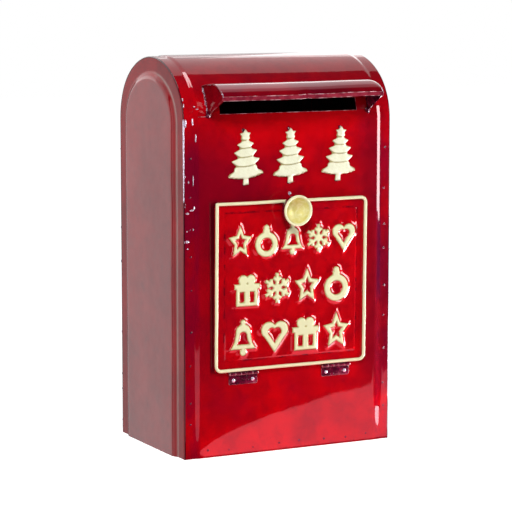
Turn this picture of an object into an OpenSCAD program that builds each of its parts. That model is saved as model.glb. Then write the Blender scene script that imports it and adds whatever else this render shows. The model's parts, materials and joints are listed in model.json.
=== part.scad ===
// Tin letter-and-money box: an arched case of lacquered tin sheet with a hooded slot,
// three stamped trees and a drop-down door on two small butt hinges.
// Origin: centre of the base, on the surface it stands on. +Z up, front towards -Y. Millimetres.

/* [Case] */
// Width across the flat borders of the two end panels
body_w = 235; // [225:1:250]
// Depth from the front wall to the back wall
body_d = 155.8; // [152:0.2:164]
// Height from the base to the crown of the arched top
body_h = 400; // [396:1:420]
// Rise of the arched top above the straight walls
arch_rise = 67.5; // [65:0.5:72]
// Radius of the tighter arcs at the front and back shoulders
shoulder_r = 62; // [58:0.5:63]
// Thickness of the tin sheet
sheet = 0.8; // [0.6:0.1:1]
// Width of the flat band along each side edge of the wrap
band_w = 14; // [10:1:16]
// How far the field of the wrap stands above its side bands
band_step = 0.6; // [0.3:0.1:0.8]

/* [End panels and base] */
// Width of the flat border around the pressed field
border_w = 16.5; // [12:0.5:20]
// Width of the sloping edge of the pressed field
slope_w = 6.5; // [4:0.5:9]
// How far the field is pressed outwards
field_rise = 3.4; // [2:0.2:5]
// Depth of the flanges folded inwards for soldering
flange_d = 9; // [6:0.5:12]

/* [Letter slot and hood] */
// Width of the slot
slot_w = 155; // [120:1:165]
// Height of the slot
slot_h = 13; // [8:0.5:14]
// Height of the slot's lower edge above the straight walls
slot_rise = 11.5; // [10:0.5:13]
// Width of the hood over the slot
hood_w = 184; // [176:1:190]
// How far the hood's lip stands out from the front wall
hood_reach = 35; // [32:0.5:38]
// Distance of the hood's crest from the front wall
hood_crest = 12; // [10:0.5:14]
// Radius of the hood from its crest down to the lip
hood_front_r = 28; // [26:0.5:30]
// Radius of the hood from its crest back to the shell
hood_back_r = 104; // [90:1:120]

/* [Trees] */
// Height of a stamped tree
tree_h = 55.5; // [45:0.5:58]
// Spacing of the three trees
tree_pitch = 53; // [46:1:56]
// Relief of a tree
tree_relief = 1.8; // [1:0.1:3]

/* [Door] */
// Width of the door
door_w = 172.4; // [168:0.2:178]
// Height of the door
door_h = 171.3; // [168:0.1:172]
// Height of the door's lower edge above the base
door_z = 85.7; // [80:0.1:90]
// Angle at which the closed door leans outwards, its top held off by the magnet
door_lean = 1; // [0.8:0.05:1.2]
// Width and height of the opening behind the door
opening = 150; // [140:1:152]
// Diameter of the wire soldered round the door
wire_d = 3.3; // [2.6:0.1:4]
// Bend radius of the wire, at its centre line
wire_bend_r = 5.5; // [4:0.5:8]
// Relief of the motifs stamped in the door
motif_relief = 2; // [1:0.1:3]

/* [Knob] */
// Diameter of the dished knob
knob_d = 31.5; // [28:0.5:34]
// Height of the knob above the door
knob_h = 15.1; // [13:0.1:18]
// Diameter of the knob's foot
knob_foot_d = 23; // [18:0.5:25]
// Depth of the dish in the knob
bowl_depth = 11; // [8:0.5:12]

/* [Hinges] */
// Width of one hinge
hinge_w = 32; // [28:1:38]
// Spacing of the two hinges
hinge_pitch = 106; // [90:1:120]
// Diameter of the hinge barrel
barrel_d = 3.6; // [3.4:0.1:3.8]
// Diameter of the hinge pin
pin_d = 1.6; // [1.4:0.1:1.8]

/* [Catch] */
// Width of the magnet
magnet_w = 16; // [12:1:20]
// Height of the magnet
magnet_h = 11; // [8:0.5:12]

/* [Hidden] */
$fn = 96;

red = "#a5101f";
dark_red = "#4a0a14";
gold = "#e6dcaa";
steel = "#8d9094";
eps = 0.05;          // gap between pieces that are soldered face to face
cut = 1;             // how far a cutting tool runs past a face

// Arch: two shoulder arcs and one crown arc, tangent to each other and to the walls
half_w = body_w / 2;
half_d = body_d / 2;
spring_z = body_h - arch_rise;
shoulder_y = half_d - shoulder_r;
crown_drop = (pow(shoulder_y, 2) - pow(arch_rise - shoulder_r, 2)) / (2 * (arch_rise - shoulder_r));
crown_r = arch_rise + crown_drop;
shoulder_angle = atan2(crown_drop, shoulder_y);
field_half_w = half_w - band_w;
wall_in = band_step + sheet + eps;   // depth below the field at which inner pieces start

// Slot and hood
slot_z = spring_z + slot_rise;
slot_corner_r = 2;
hood_crest_z = spring_z + 42.5;
hem_h = 4;
lip_y = -half_d - hood_reach;
crest_y = -half_d - hood_crest;
lip_z = hood_crest_z - hood_front_r + sqrt(pow(hood_front_r, 2) - pow(hood_reach - hood_crest, 2));
hem_z = lip_z - hem_h;
cheek_x = hood_w / 2 - 1;
cheek_foot_z = spring_z + 9.5;

// Trees: right half of the outline in hundredths of the height, before it leans to the right
tree_base_z = spring_z - 59.5;
tree_lean = 0.075;
tree_tilts = [5, 4, 0];
tree_shifts = [3.5, 0.5, 2];
tree_half = [
    [7.2, 0], [6.5, 11.2], [21.6, 12.3], [33, 16], [36.4, 21.6], [19, 35.1],
    [28.8, 43.6], [15.3, 51.4], [23.4, 58.9], [10.8, 67.6], [16.9, 72.6],
    [5.8, 80.2], [9, 82], [7.2, 87.4], [10.8, 92.8], [4.7, 93.7], [0, 100],
];

// Door, measured outwards from the front wall before it leans
door_back = 1.3;
door_face = door_back + sheet;
door_flange_p = 0.5;
door_top = door_z + door_h;
opening_z = door_z + 7.3;
opening_top = opening_z + opening;
wire_out = door_face + wire_d / 2 + 0.02;
wire_half_w = door_w / 2 - wire_d / 2;
wire_low = door_z + wire_d / 2;
wire_high = door_top - wire_d / 2;

// Rows of motifs on the door: [height of the row's centre, motif height, first x, pitch, names]
motif_rows = [
    [216.5, 33, -59, 29.5, ["star", "bauble", "bell", "snowflake", "heart"]],
    [168, 36, -51, 34, ["gift", "snowflake", "star", "bauble"]],
    [119.5, 38, -55, 35.5, ["bell", "heart", "gift", "star"]],
];

// Knob
knob_z = 246.7;
rim_r = 1.25;
knob_rim_z = knob_h - rim_r;
bowl_mouth_r = knob_d / 2 - 2 * rim_r;
bowl_drop = bowl_depth - rim_r;
bowl_r = (pow(bowl_mouth_r, 2) + pow(bowl_drop, 2)) / (2 * bowl_drop);
flare = (knob_d - knob_foot_d) / 2 - 0.15;
flare_r = (pow(flare, 2) + pow(knob_rim_z, 2)) / (2 * flare);
stud_r = 2;
stud_seat = 2.4;
washer_t = 0.5;
nut_t = 2.2;
nut_flats = 7;
stud_end = door_back - washer_t - nut_t - 0.4;

// Hinges
axis_out = 2.2;
axis_z = door_z - 2.5;
leaf_t = 0.8;
case_leaf_h = 11.2;
door_leaf_h = 17;
knuckles = 5;
knuckle_w = hinge_w / knuckles;
knuckle_gap = 0.15;
pin_clear = 0.05;
knuckle_clear = 2.1;
rivet_inset = 5.2;
rivet_drop = 6.7;
case_rivet_r = 1.2;
hinge_rivet_spots = [for (h = [-1, 1], s = [-1, 1])
    [h * hinge_pitch / 2 + s * (hinge_w / 2 - rivet_inset), axis_z - rivet_drop]];

// Catch
catch_rivet_z = door_top + 5.2;
magnet_top = opening_top - 2;
magnet_face = door_back + (magnet_top - magnet_h - axis_z) * tan(door_lean) - 0.3;
bracket_t = 1;
bracket_w = 14;

// ---- frames of reference ----

// Extrudes a (y, z) outline along X, from x on
module along_x(x, len) translate([x, 0, 0]) rotate([90, 0, 90]) linear_extrude(len) children();

// Extrudes an (x, z) outline towards the front, from a given distance outside the front wall
module out_from(p, t) translate([0, -half_d - p, 0]) rotate([90, 0, 0]) linear_extrude(t) children();

// Places a piece whose axis points forwards, at (x, z), outside the front wall by p
module facing(x, z, p) translate([x, -half_d - p, z]) rotate([90, 0, 0]) children();

// Leans a piece of the door outwards about the hinge axis
module leaning() translate([0, -half_d - axis_out, axis_z]) rotate([door_lean, 0, 0])
    translate([0, half_d + axis_out, -axis_z]) children();

// Carries a profile drawn as (distance outside the arch, x) up the front wall,
// over both shoulders and the crown, and down the back wall
module along_arch() {
    for (side = [0, 1]) mirror([0, side, 0]) {
        translate([0, -half_d, 0]) rotate([0, 0, -90]) linear_extrude(spring_z) children();
        translate([0, -shoulder_y, spring_z]) rotate([0, -90, 0]) rotate([0, 0, -90])
            rotate_extrude(angle = shoulder_angle) translate([shoulder_r, 0]) mirror([0, 1]) children();
    }
    translate([0, 0, spring_z - crown_drop]) rotate([0, 90, 0]) rotate([0, 0, 90 + shoulder_angle])
        rotate_extrude(angle = 180 - 2 * shoulder_angle) translate([crown_r, 0]) children();
}

// Area inside the arch outline moved outwards by u, starting at height z
module arch_area(u, z = 0) {
    reach = 2 * body_h;
    translate([-half_d - u, z]) square([body_d + 2 * u, spring_z - z]);
    for (side = [-1, 1]) translate([side * shoulder_y, spring_z]) circle(shoulder_r + u);
    intersection() {
        translate([0, spring_z - crown_drop]) circle(crown_r + u);
        translate([0, spring_z - crown_drop]) polygon([
            [0, 0],
            [reach * cos(shoulder_angle), reach * sin(shoulder_angle)],
            [-reach * cos(shoulder_angle), reach * sin(shoulder_angle)],
        ]);
    }
}

// Section of a sheet bent to the arch, open at the base
module arch_ring(u, t) difference() {
    arch_area(u);
    arch_area(u - t, -cut);
}

// ---- small shared shapes ----

module rounded_plate(w, h, r) {
    translate([-w / 2 + r, -h / 2]) square([w - 2 * r, h]);
    translate([-w / 2, -h / 2 + r]) square([w, h - 2 * r]);
    for (x = [-1, 1], z = [-1, 1]) translate([x * (w / 2 - r), z * (h / 2 - r)]) circle(r);
}

// Rivet along Z: domed head from z = 0 up, shank and closed tail below
module rivet(head_r, head_h, shank_r, grip, tail_r, tail_h) {
    dome_r = (pow(head_r, 2) + pow(head_h, 2)) / (2 * head_h);
    intersection() {
        translate([0, 0, head_h - dome_r]) sphere(dome_r);
        cylinder(h = head_h + cut, r = head_r);
    }
    translate([0, 0, -grip - tail_h]) cylinder(h = grip + tail_h, r = shank_r);
    translate([0, 0, -grip - tail_h]) cylinder(h = tail_h, r = tail_r);
}

// ---- case ----

module wrap_shell() color(red) difference() {
    union() {
        along_x(-field_half_w, 2 * field_half_w) arch_ring(0, sheet);
        for (side = [0, 1]) mirror([side, 0, 0]) {
            along_x(field_half_w - sheet, sheet) arch_ring(0, sheet + band_step);
            along_x(field_half_w - sheet, band_w + sheet) arch_ring(-band_step, sheet);
        }
    }
    out_from(-shoulder_r / 2, shoulder_r) translate([0, slot_z + slot_h / 2])
        rounded_plate(slot_w, slot_h, slot_corner_r);
    out_from(-2 * sheet, 4 * sheet) translate([-opening / 2, opening_z]) square(opening);
    for (spot = hinge_rivet_spots)
        facing(spot[0], spot[1], -2 * sheet) cylinder(h = 4 * sheet, r = case_rivet_r + eps);
    facing(0, catch_rivet_z, -2 * sheet) cylinder(h = 4 * sheet, r = case_rivet_r + eps);
}

// End panel on the +X side: flange, flat border, sloping edge and pressed field
module end_panel() {
    slope_end = border_w + slope_w;
    along_arch() polygon([
        [-wall_in, half_w - flange_d], [-wall_in, half_w], [-border_w, half_w],
        [-slope_end, half_w + field_rise], [-slope_end - cut, half_w + field_rise],
        [-slope_end - cut, half_w + field_rise - sheet], [-slope_end, half_w + field_rise - sheet],
        [-border_w, half_w - sheet], [-wall_in - sheet, half_w - sheet], [-wall_in - sheet, half_w - flange_d],
    ]);
    along_x(half_w + field_rise - sheet, sheet) arch_area(-slope_end - cut / 2);
}

module left_end_panel() color(red) mirror([1, 0, 0]) end_panel();
module right_end_panel() color(red) end_panel();

// Base plate with tongues that reach into the pressed fields, and four upturned flanges
module base_pan() color(dark_red) {
    mid_x = half_w - flange_d - 0.5;
    deep_y = half_d - wall_in;
    tongue_y = deep_y - sheet - 0.5;
    field_y = half_d - border_w - slope_w - 1;
    field_x = half_w + field_rise - sheet - eps;
    translate([-mid_x, -deep_y, 0]) cube([2 * mid_x, 2 * deep_y, sheet]);
    translate([-half_w + sheet + eps, -tongue_y, 0]) cube([body_w - 2 * sheet - 2 * eps, 2 * tongue_y, sheet]);
    translate([-field_x, -field_y, 0]) cube([2 * field_x, 2 * field_y, sheet]);
    for (side = [0, 1]) {
        mirror([0, side, 0]) translate([-mid_x, deep_y - sheet, 0]) cube([2 * mid_x, sheet, flange_d]);
        mirror([side, 0, 0]) translate([field_x - sheet, -field_y, 0]) cube([sheet, 2 * field_y, flange_d]);
    }
}

// ---- hood over the slot ----

// Area under the hood's outer surface moved inwards by t
module hood_area(t) {
    tall = 100;
    intersection() {
        translate([crest_y, hood_crest_z - hood_back_r]) circle(hood_back_r - t);
        translate([crest_y, spring_z]) square([60, tall]);
    }
    intersection() {
        translate([crest_y, hood_crest_z - hood_front_r]) circle(hood_front_r - t);
        translate([lip_y + t, spring_z]) square([hood_reach - hood_crest - t, tall]);
    }
}

module slot_hood() color(red) along_x(-hood_w / 2, hood_w) difference() {
    hood_area(0);
    hood_area(sheet);
    translate([lip_y - cut, spring_z - cut]) square([hood_reach + cut, hem_z - spring_z + cut]);
    arch_area(eps);
}

// Triangular end of the hood, scribed to the shell
module hood_cheek() along_x(cheek_x - sheet, sheet) difference() {
    intersection() {
        hood_area(sheet + eps);
        polygon([
            [-half_d + cut, cheek_foot_z], [lip_y + sheet, hem_z],
            [lip_y, body_h], [0, body_h], [0, cheek_foot_z],
        ]);
    }
    arch_area(eps);
}

module left_hood_cheek() color(dark_red) mirror([1, 0, 0]) hood_cheek();
module right_hood_cheek() color(dark_red) hood_cheek();

// Solder in the corner between each cheek and the shell
module hood_solder_dabs() color(dark_red) difference() {
    for (side = [-1, 1]) for (spot = [[0, 2.6], [9, 1.9]])
        translate([side * cheek_x, -half_d, cheek_foot_z + 1.5 + spot[0]]) sphere(spot[1]);
    along_x(-half_w, body_w) arch_area(eps);
    translate([-cheek_x - eps, -body_d, 0]) cube([2 * cheek_x + 2 * eps, body_d, body_h]);
}

// ---- stamped trees ----

module tree_outline() {
    right = [for (q = tree_half) q * tree_h / 100];
    left = [for (i = [len(right) - 2:-1:0]) [-right[i][0], right[i][1]]];
    polygon([for (q = concat(right, left)) [q[0] + tree_lean * q[1], q[1]]]);
}

// Tree number i, 0 on the left: a little out of line, as soldered by hand
module place_tree(i)
    translate([(i - 1) * tree_pitch + tree_shifts[i], tree_base_z]) rotate(tree_tilts[i]) children();

module tree(i) color(gold) out_from(eps, tree_relief) place_tree(i) tree_outline();
module tree_left() tree(0);
module tree_middle() tree(1);
module tree_right() tree(2);

// Solder at the tip and the trunk of each tree
module tree_solder_dabs() color(dark_red) difference() {
    out_from(eps, 1.2) for (i = [0:2]) place_tree(i) {
        translate([tree_lean * tree_h - 2.6, tree_h - 2.2]) circle(1.7);
        translate([-2.2, 0.2]) circle(1.6);
    }
    out_from(0, 2 * tree_relief) for (i = [0:2]) place_tree(i) tree_outline();
}

// ---- door ----

// Star, narrower than it is high
module star_plate(outer) {
    tips = 5;
    polygon([for (i = [0:2 * tips - 1])
        (i % 2 == 0 ? outer : 0.5 * outer) * [0.8 * sin(i * 180 / tips), cos(i * 180 / tips)]]);
}

module star_motif(h) difference() {
    star_plate(0.53 * h);
    star_plate(0.24 * h);
}

module bauble_motif(h) {
    r = 0.39 * h;
    translate([0, r - h / 2]) difference() {
        circle(r);
        circle(0.5 * r);
    }
    translate([-0.12 * h, 0.22 * h]) square([0.24 * h, 0.14 * h]);
    translate([0, 0.4 * h]) circle(0.1 * h);
}

module bell_plate(h) {
    translate([0, 0.16 * h]) circle(0.22 * h);
    polygon([[-0.21, 0.16], [0.21, 0.16], [0.27, -0.12], [0.38, -0.3], [-0.38, -0.3], [-0.27, -0.12]] * h);
}

module bell_motif(h) {
    difference() {
        bell_plate(h);
        translate([0, -0.02 * h]) bell_plate(0.48 * h);
    }
    translate([0, -0.38 * h]) circle(0.1 * h);
    translate([0, 0.42 * h]) circle(0.08 * h);
}

module snowflake_motif(h) {
    bar = 0.11 * h;
    circle(0.13 * h);
    for (a = [0:60:300]) rotate(a) {
        translate([-bar / 2, 0]) square([bar, 0.43 * h]);
        for (side = [-1, 1]) translate([0, 0.2 * h]) rotate(side * 50)
            translate([-bar / 2, 0]) square([bar, 0.16 * h]);
    }
}

module heart_plate(h) {
    for (side = [-1, 1]) translate([side * 0.18 * h, 0.16 * h]) circle(0.225 * h);
    polygon([[0, -0.46], [0.342, 0.02], [0.18, 0.2], [-0.18, 0.2], [-0.342, 0.02]] * h);
}

module heart_motif(h) difference() {
    heart_plate(h);
    translate([0, 0.03 * h]) heart_plate(0.48 * h);
}

module gift_motif(h) {
    difference() {
        translate([-0.34 * h, -0.46 * h]) square([0.68 * h, 0.52 * h]);
        for (x = [-0.22, 0.09]) translate([x * h, -0.34 * h]) square([0.13 * h, 0.28 * h]);
    }
    translate([-0.4 * h, 0.02 * h]) square([0.8 * h, 0.16 * h]);
    for (side = [-1, 1]) translate([side * 0.12 * h, 0.28 * h]) circle(0.15 * h);
}

module motif(name, h) {
    if (name == "star") star_motif(h);
    if (name == "bauble") bauble_motif(h);
    if (name == "bell") bell_motif(h);
    if (name == "snowflake") snowflake_motif(h);
    if (name == "heart") heart_motif(h);
    if (name == "gift") gift_motif(h);
}

// Door sheet with flanges on three sides and the stamped motifs; the wire hides its corners
module door_panel() color(red) leaning() difference() {
    union() {
        out_from(door_back, sheet) translate([0, door_z + door_h / 2])
            rounded_plate(door_w, door_h, wire_bend_r);
        out_from(door_flange_p, door_back - door_flange_p + sheet / 2) {
            for (side = [0, 1]) mirror([side, 0])
                translate([door_w / 2 - sheet, door_z + wire_bend_r]) square([sheet, door_h - 2 * wire_bend_r]);
            translate([-door_w / 2 + wire_bend_r, door_top - sheet]) square([door_w - 2 * wire_bend_r, sheet]);
        }
        out_from(door_back + sheet / 2, motif_relief + sheet / 2)
            for (row = motif_rows, i = [0:len(row[4]) - 1])
                translate([row[2] + i * row[3], row[0]]) motif(row[4][i], row[1]);
    }
    facing(0, knob_z, 0) cylinder(h = 2 * door_face, r = stud_r + 3 * eps);
}

// Wire border: three bent corners, and a plain corner at the upper left where its ends meet
module door_wire_frame() color(gold) leaning() {
    r = wire_d / 2;
    x = wire_half_w - wire_bend_r;
    low = wire_low + wire_bend_r;
    high = wire_high - wire_bend_r;
    translate([0, -half_d - wire_out, 0]) {
        translate([-x, 0, wire_low]) rotate([0, 90, 0]) cylinder(h = 2 * x, r = r);
        translate([-wire_half_w, 0, wire_high]) rotate([0, 90, 0]) cylinder(h = wire_half_w + x, r = r);
        translate([-wire_half_w, 0, low]) cylinder(h = wire_high - low, r = r);
        translate([wire_half_w, 0, low]) cylinder(h = high - low, r = r);
        for (corner = [[x, high, 0], [x, low, -90], [-x, low, 180]])
            translate([corner[0], 0, corner[1]]) rotate([90, 0, 0]) rotate([0, 0, corner[2]])
                rotate_extrude(angle = 90) translate([wire_bend_r, 0]) circle(r);
    }
    translate([-wire_half_w, -half_d - wire_out, wire_high]) sphere(r);
}

// ---- knob ----

module knob_cup() color(gold) leaning() facing(0, knob_z, door_face) difference() {
    rotate_extrude() difference() {
        union() {
            intersection() {
                translate([knob_d / 2 - 0.15 - flare_r, knob_rim_z]) circle(flare_r);
                square([knob_d, knob_rim_z]);
            }
            translate([knob_d / 2 - rim_r, knob_rim_z]) circle(rim_r);
        }
        intersection() {
            translate([0, knob_h - bowl_depth + bowl_r]) circle(bowl_r);
            square([bowl_mouth_r, knob_rim_z]);
        }
        translate([0, knob_rim_z]) square([bowl_mouth_r, 2 * rim_r]);
    }
    translate([0, 0, -cut]) cylinder(h = stud_seat + cut, r = stud_r + eps);
    // the foot is cut back where the wire passes under the dish
    translate([-knob_d / 2, wire_high - knob_z - wire_d / 2 - 0.3, -cut])
        cube([knob_d, knob_d / 2, cut + wire_d + 0.3]);
}

module knob_stud() color(steel) leaning() facing(0, knob_z, stud_end)
    cylinder(h = door_face - stud_end + stud_seat - eps, r = stud_r);

module knob_washer() color(steel) leaning() facing(0, knob_z, door_back - washer_t) difference() {
    cylinder(h = washer_t, r = 4.5);
    translate([0, 0, -cut]) cylinder(h = washer_t + 2 * cut, r = stud_r + 2 * eps);
}

module knob_nut() color(steel) leaning() facing(0, knob_z, door_back - washer_t - nut_t) difference() {
    linear_extrude(nut_t) circle(nut_flats / sqrt(3), $fn = 6);
    translate([0, 0, -cut]) cylinder(h = nut_t + 2 * cut, r = stud_r + eps);
}

// ---- hinges ----

// Knuckles first, first + 2, ... of one hinge, along X about the hinge axis
module knuckle_row(first) for (i = [first:2:knuckles - 1])
    translate([-hinge_w / 2 + i * knuckle_w + knuckle_gap / 2, -half_d - axis_out, axis_z])
        rotate([0, 90, 0]) cylinder(h = knuckle_w - knuckle_gap, r = barrel_d / 2);

module pin_bore() translate([-hinge_w, -half_d - axis_out, axis_z])
    rotate([0, 90, 0]) cylinder(h = 2 * hinge_w, r = pin_d / 2 + pin_clear);

// Leaf outline with notches where the other leaf's knuckles turn; up is 1 or -1
module leaf_outline(first, height, up) for (i = [0:knuckles - 1]) {
    own = i % 2 == first;
    root = own ? 0 : knuckle_clear;
    translate([-hinge_w / 2 + i * knuckle_w, axis_z + (up > 0 ? root : -height)])
        square([knuckle_w, height - root]);
}

module case_leaf(side) color(dark_red) translate([side * hinge_pitch / 2, 0, 0]) difference() {
    union() {
        out_from(0, leaf_t) leaf_outline(0, case_leaf_h, -1);
        knuckle_row(0);
    }
    pin_bore();
    for (s = [-1, 1]) facing(s * (hinge_w / 2 - rivet_inset), axis_z - rivet_drop, -cut)
        cylinder(h = leaf_t + 2 * cut, r = case_rivet_r + eps);
}

module door_leaf(side) color(dark_red) leaning() translate([side * hinge_pitch / 2, 0, 0]) difference() {
    union() {
        out_from(door_back - leaf_t, leaf_t) leaf_outline(1, door_leaf_h, 1);
        knuckle_row(1);
    }
    pin_bore();
}

module hinge_pin(side) color(steel) translate([side * hinge_pitch / 2, -half_d - axis_out, axis_z])
    rotate([0, 90, 0]) {
        head_t = 0.5;
        long = hinge_w + 2 * eps;
        translate([0, 0, -long / 2 - head_t]) cylinder(h = long + 2 * head_t, r = pin_d / 2);
        for (end = [-long / 2 - head_t, long / 2]) translate([0, 0, end]) cylinder(h = head_t, r = 1.3);
    }

module left_hinge_case_leaf() case_leaf(-1);
module right_hinge_case_leaf() case_leaf(1);
module left_hinge_door_leaf() door_leaf(-1);
module right_hinge_door_leaf() door_leaf(1);
module left_hinge_pin() hinge_pin(-1);
module right_hinge_pin() hinge_pin(1);

module case_hinge_rivets() color(steel) for (spot = hinge_rivet_spots)
    facing(spot[0], spot[1], leaf_t) rivet(2, 1.2, case_rivet_r, leaf_t + sheet, 2.1, 0.7);

// ---- catch ----

module catch_bracket() color(steel) difference() {
    out_from(-sheet - bracket_t, bracket_t) {
        low = magnet_top - magnet_h - 1;
        translate([-bracket_w / 2, low]) square([bracket_w, catch_rivet_z + 5 - low]);
    }
    facing(0, catch_rivet_z, -sheet - bracket_t - cut)
        cylinder(h = bracket_t + 2 * cut, r = case_rivet_r + eps);
}

module catch_magnet() color("#3a3a3c") out_from(-sheet, sheet + magnet_face)
    translate([-magnet_w / 2, magnet_top - magnet_h]) square([magnet_w, magnet_h]);

module catch_rivet() color(steel) facing(0, catch_rivet_z, 0)
    rivet(1.8, 1.1, case_rivet_r, sheet + bracket_t, 2.1, 0.7);

wrap_shell();
left_end_panel();
right_end_panel();
base_pan();
slot_hood();
left_hood_cheek();
right_hood_cheek();
hood_solder_dabs();
tree_left();
tree_middle();
tree_right();
tree_solder_dabs();
left_hinge_case_leaf();
right_hinge_case_leaf();
case_hinge_rivets();
left_hinge_pin();
right_hinge_pin();
catch_bracket();
catch_magnet();
catch_rivet();
door_panel();
door_wire_frame();
knob_cup();
knob_stud();
knob_washer();
knob_nut();
left_hinge_door_leaf();
right_hinge_door_leaf();
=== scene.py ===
"""Looks of a lacquered tin money box in the form of a letter box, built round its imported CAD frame.

Sizes are millimetres in the frame of the CAD model (+Z up, the front towards -Y);
make_piece() turns them into metres. Materials work in metres.
"""

import json
import math
from contextlib import contextmanager

import bmesh
import bpy
import numpy as np
from mathutils import Matrix, Vector
from mathutils.geometry import delaunay_2d_cdt


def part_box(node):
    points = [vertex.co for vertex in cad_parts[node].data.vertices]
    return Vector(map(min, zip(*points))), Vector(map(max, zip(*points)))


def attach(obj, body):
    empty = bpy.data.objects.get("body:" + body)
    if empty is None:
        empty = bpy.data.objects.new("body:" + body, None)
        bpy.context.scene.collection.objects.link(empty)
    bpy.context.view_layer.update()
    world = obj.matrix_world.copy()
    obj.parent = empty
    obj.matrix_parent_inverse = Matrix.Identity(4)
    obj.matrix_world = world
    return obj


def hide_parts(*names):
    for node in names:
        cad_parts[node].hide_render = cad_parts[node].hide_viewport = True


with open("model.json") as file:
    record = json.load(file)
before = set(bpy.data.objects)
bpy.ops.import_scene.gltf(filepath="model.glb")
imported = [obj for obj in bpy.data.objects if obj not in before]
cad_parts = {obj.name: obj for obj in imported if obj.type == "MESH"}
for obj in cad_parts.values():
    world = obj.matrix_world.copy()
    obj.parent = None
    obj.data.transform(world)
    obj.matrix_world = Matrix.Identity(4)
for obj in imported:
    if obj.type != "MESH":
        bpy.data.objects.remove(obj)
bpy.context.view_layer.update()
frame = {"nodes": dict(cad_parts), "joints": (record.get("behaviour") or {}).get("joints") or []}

MM = 0.001
SHEET = 0.8


def node_box(name):
    """Lowest and highest corner of a CAD node, in millimetres."""
    low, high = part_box(name)
    return np.array(low) / MM, np.array(high) / MM


# ---- sizes taken from the frame, and the few that boxes don't show ----

HALF_W, HALF_D, BODY_H = node_box("wrap_shell")[1]
FIELD_X = node_box("right_end_panel")[1][0]
ARCH_RISE = 67.5
SHOULDER_R = 62.0
SPRING_Z = BODY_H - ARCH_RISE
SHOULDER_Y = HALF_D - SHOULDER_R
CROWN_DROP = (SHOULDER_Y**2 - (ARCH_RISE - SHOULDER_R)**2) / (2 * (ARCH_RISE - SHOULDER_R))
CROWN_R = ARCH_RISE + CROWN_DROP
CROWN_Z = SPRING_Z - CROWN_DROP
SHOULDER_ANGLE = math.atan2(CROWN_DROP, SHOULDER_Y)

RIDGE_X = 103.5
BAND_X = 110.5
BEND_Z = 342.0
BAND_INSET = 0.9
WALL_IN = BAND_INSET + SHEET + 0.03
FLANGE = 9.0
BORDER_W = 16.5
SLOPE_W = 6.5

SLOT_HALF_W = 77.5
SLOT_LOW, SLOT_HIGH = SPRING_Z + 11.5, SPRING_Z + 24.5
OPENING_HALF_W = 75.0
OPENING_LOW, OPENING_HIGH = 93.0, 243.0

HOOD_LOW, HOOD_HIGH = node_box("slot_hood")
HOOD_HALF_W = HOOD_HIGH[0]
HOOD_CREST_Z = HOOD_HIGH[2]
HOOD_HEM_Z = HOOD_LOW[2]
HOOD_LIP_Y = HOOD_LOW[1]
HOOD_CREST_Y = -HALF_D - 12.0
HOOD_FRONT_R = 28.0
HOOD_BACK_R = 104.0
CHEEK_X = HOOD_HALF_W - 1.0
CHEEK_FOOT_Z = SPRING_Z + 9.5

HINGE_AXIS = np.array(frame["joints"][0]["pos_m"]) / MM
DOOR_LEAN = math.radians(1.0)
DOOR_FACE = 2.1
DOOR_HALF_W = 86.2
DOOR_LOW, DOOR_HIGH = 85.7, 257.0
DOOR_CORNER_R = 5.5
MOTIF_FACE = DOOR_FACE + 2.0
MOTIF_RISE = 3.0
WIRE_R = 1.65
WIRE_OUT = DOOR_FACE + WIRE_R
KNOB_Z = 246.7
KNOB_R, KNOB_FOOT_R, KNOB_HEIGHT, KNOB_RIM_R, BOWL_DEPTH = 15.75, 11.5, 15.1, 1.25, 11.0

HINGE_XS = [-53.0, 53.0]
HINGE_W, KNUCKLES, BARREL_R, PIN_R = 32.0, 5, 1.8, 0.8
KNUCKLE_W = HINGE_W / KNUCKLES
CASE_LEAF_H, DOOR_LEAF_H, LEAF_T = 11.2, 17.0, 0.8
RIVET_INSET, RIVET_DROP = 5.2, 6.7


# ---- numbers ----

def smooth(t):
    """0 below 0, 1 above 1, and an S between."""
    t = np.clip(t, 0, 1)
    return t * t * (3 - 2 * t)


def bell(distance, width):
    """1 at distance 0, falling to nothing a few widths away."""
    return np.exp(-(np.asarray(distance) / width)**2)


def ripple(points, wavelength, seed):
    """Smooth seeded waviness between about -1 and 1."""
    waves = 7
    rng = np.random.default_rng(seed)
    points = np.asarray(points, float)
    total = np.zeros(points.shape[:-1])
    for _ in range(waves):
        direction = rng.normal(size=points.shape[-1])
        direction /= np.linalg.norm(direction)
        length = wavelength * rng.uniform(0.7, 1.6)
        total += np.sin(points @ direction * math.tau / length + rng.uniform(0, math.tau))
    return total / math.sqrt(2 * waves)


def mirrored(values):
    """Values from 0 up, with their negatives before them, in order."""
    values = sorted(set(values))
    return np.array([-v for v in reversed(values) if v > 0] + values)


def spaced(start, stop, step):
    """Even steps of about the given size that include both ends."""
    return np.linspace(start, stop, max(2, round(abs(stop - start) / step) + 1))


# ---- meshes ----

def make_piece(name, points, faces, materials, face_materials=None):
    """A mesh object from points in millimetres."""
    mesh = bpy.data.meshes.new(name)
    mesh.from_pydata((np.asarray(points, float) * MM).tolist(), [], [list(map(int, f)) for f in faces])
    for material in materials:
        mesh.materials.append(material)
    if face_materials is not None:
        mesh.polygons.foreach_set("material_index", np.asarray(face_materials, np.int32))
    mesh.update()
    piece = bpy.data.objects.new(name, mesh)
    bpy.context.scene.collection.objects.link(piece)
    return piece


def store(piece, name, values):
    """Keeps one number per vertex for the material to read."""
    attribute = piece.data.attributes.new(name, "FLOAT", "POINT")
    attribute.data.foreach_set("value", np.asarray(values, np.float32).ravel())


def bake_modifiers(piece):
    """Turns the piece's modifiers into real geometry."""
    graph = bpy.context.evaluated_depsgraph_get()
    mesh = bpy.data.meshes.new_from_object(piece.evaluated_get(graph))
    piece.modifiers.clear()
    piece.data = mesh


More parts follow.
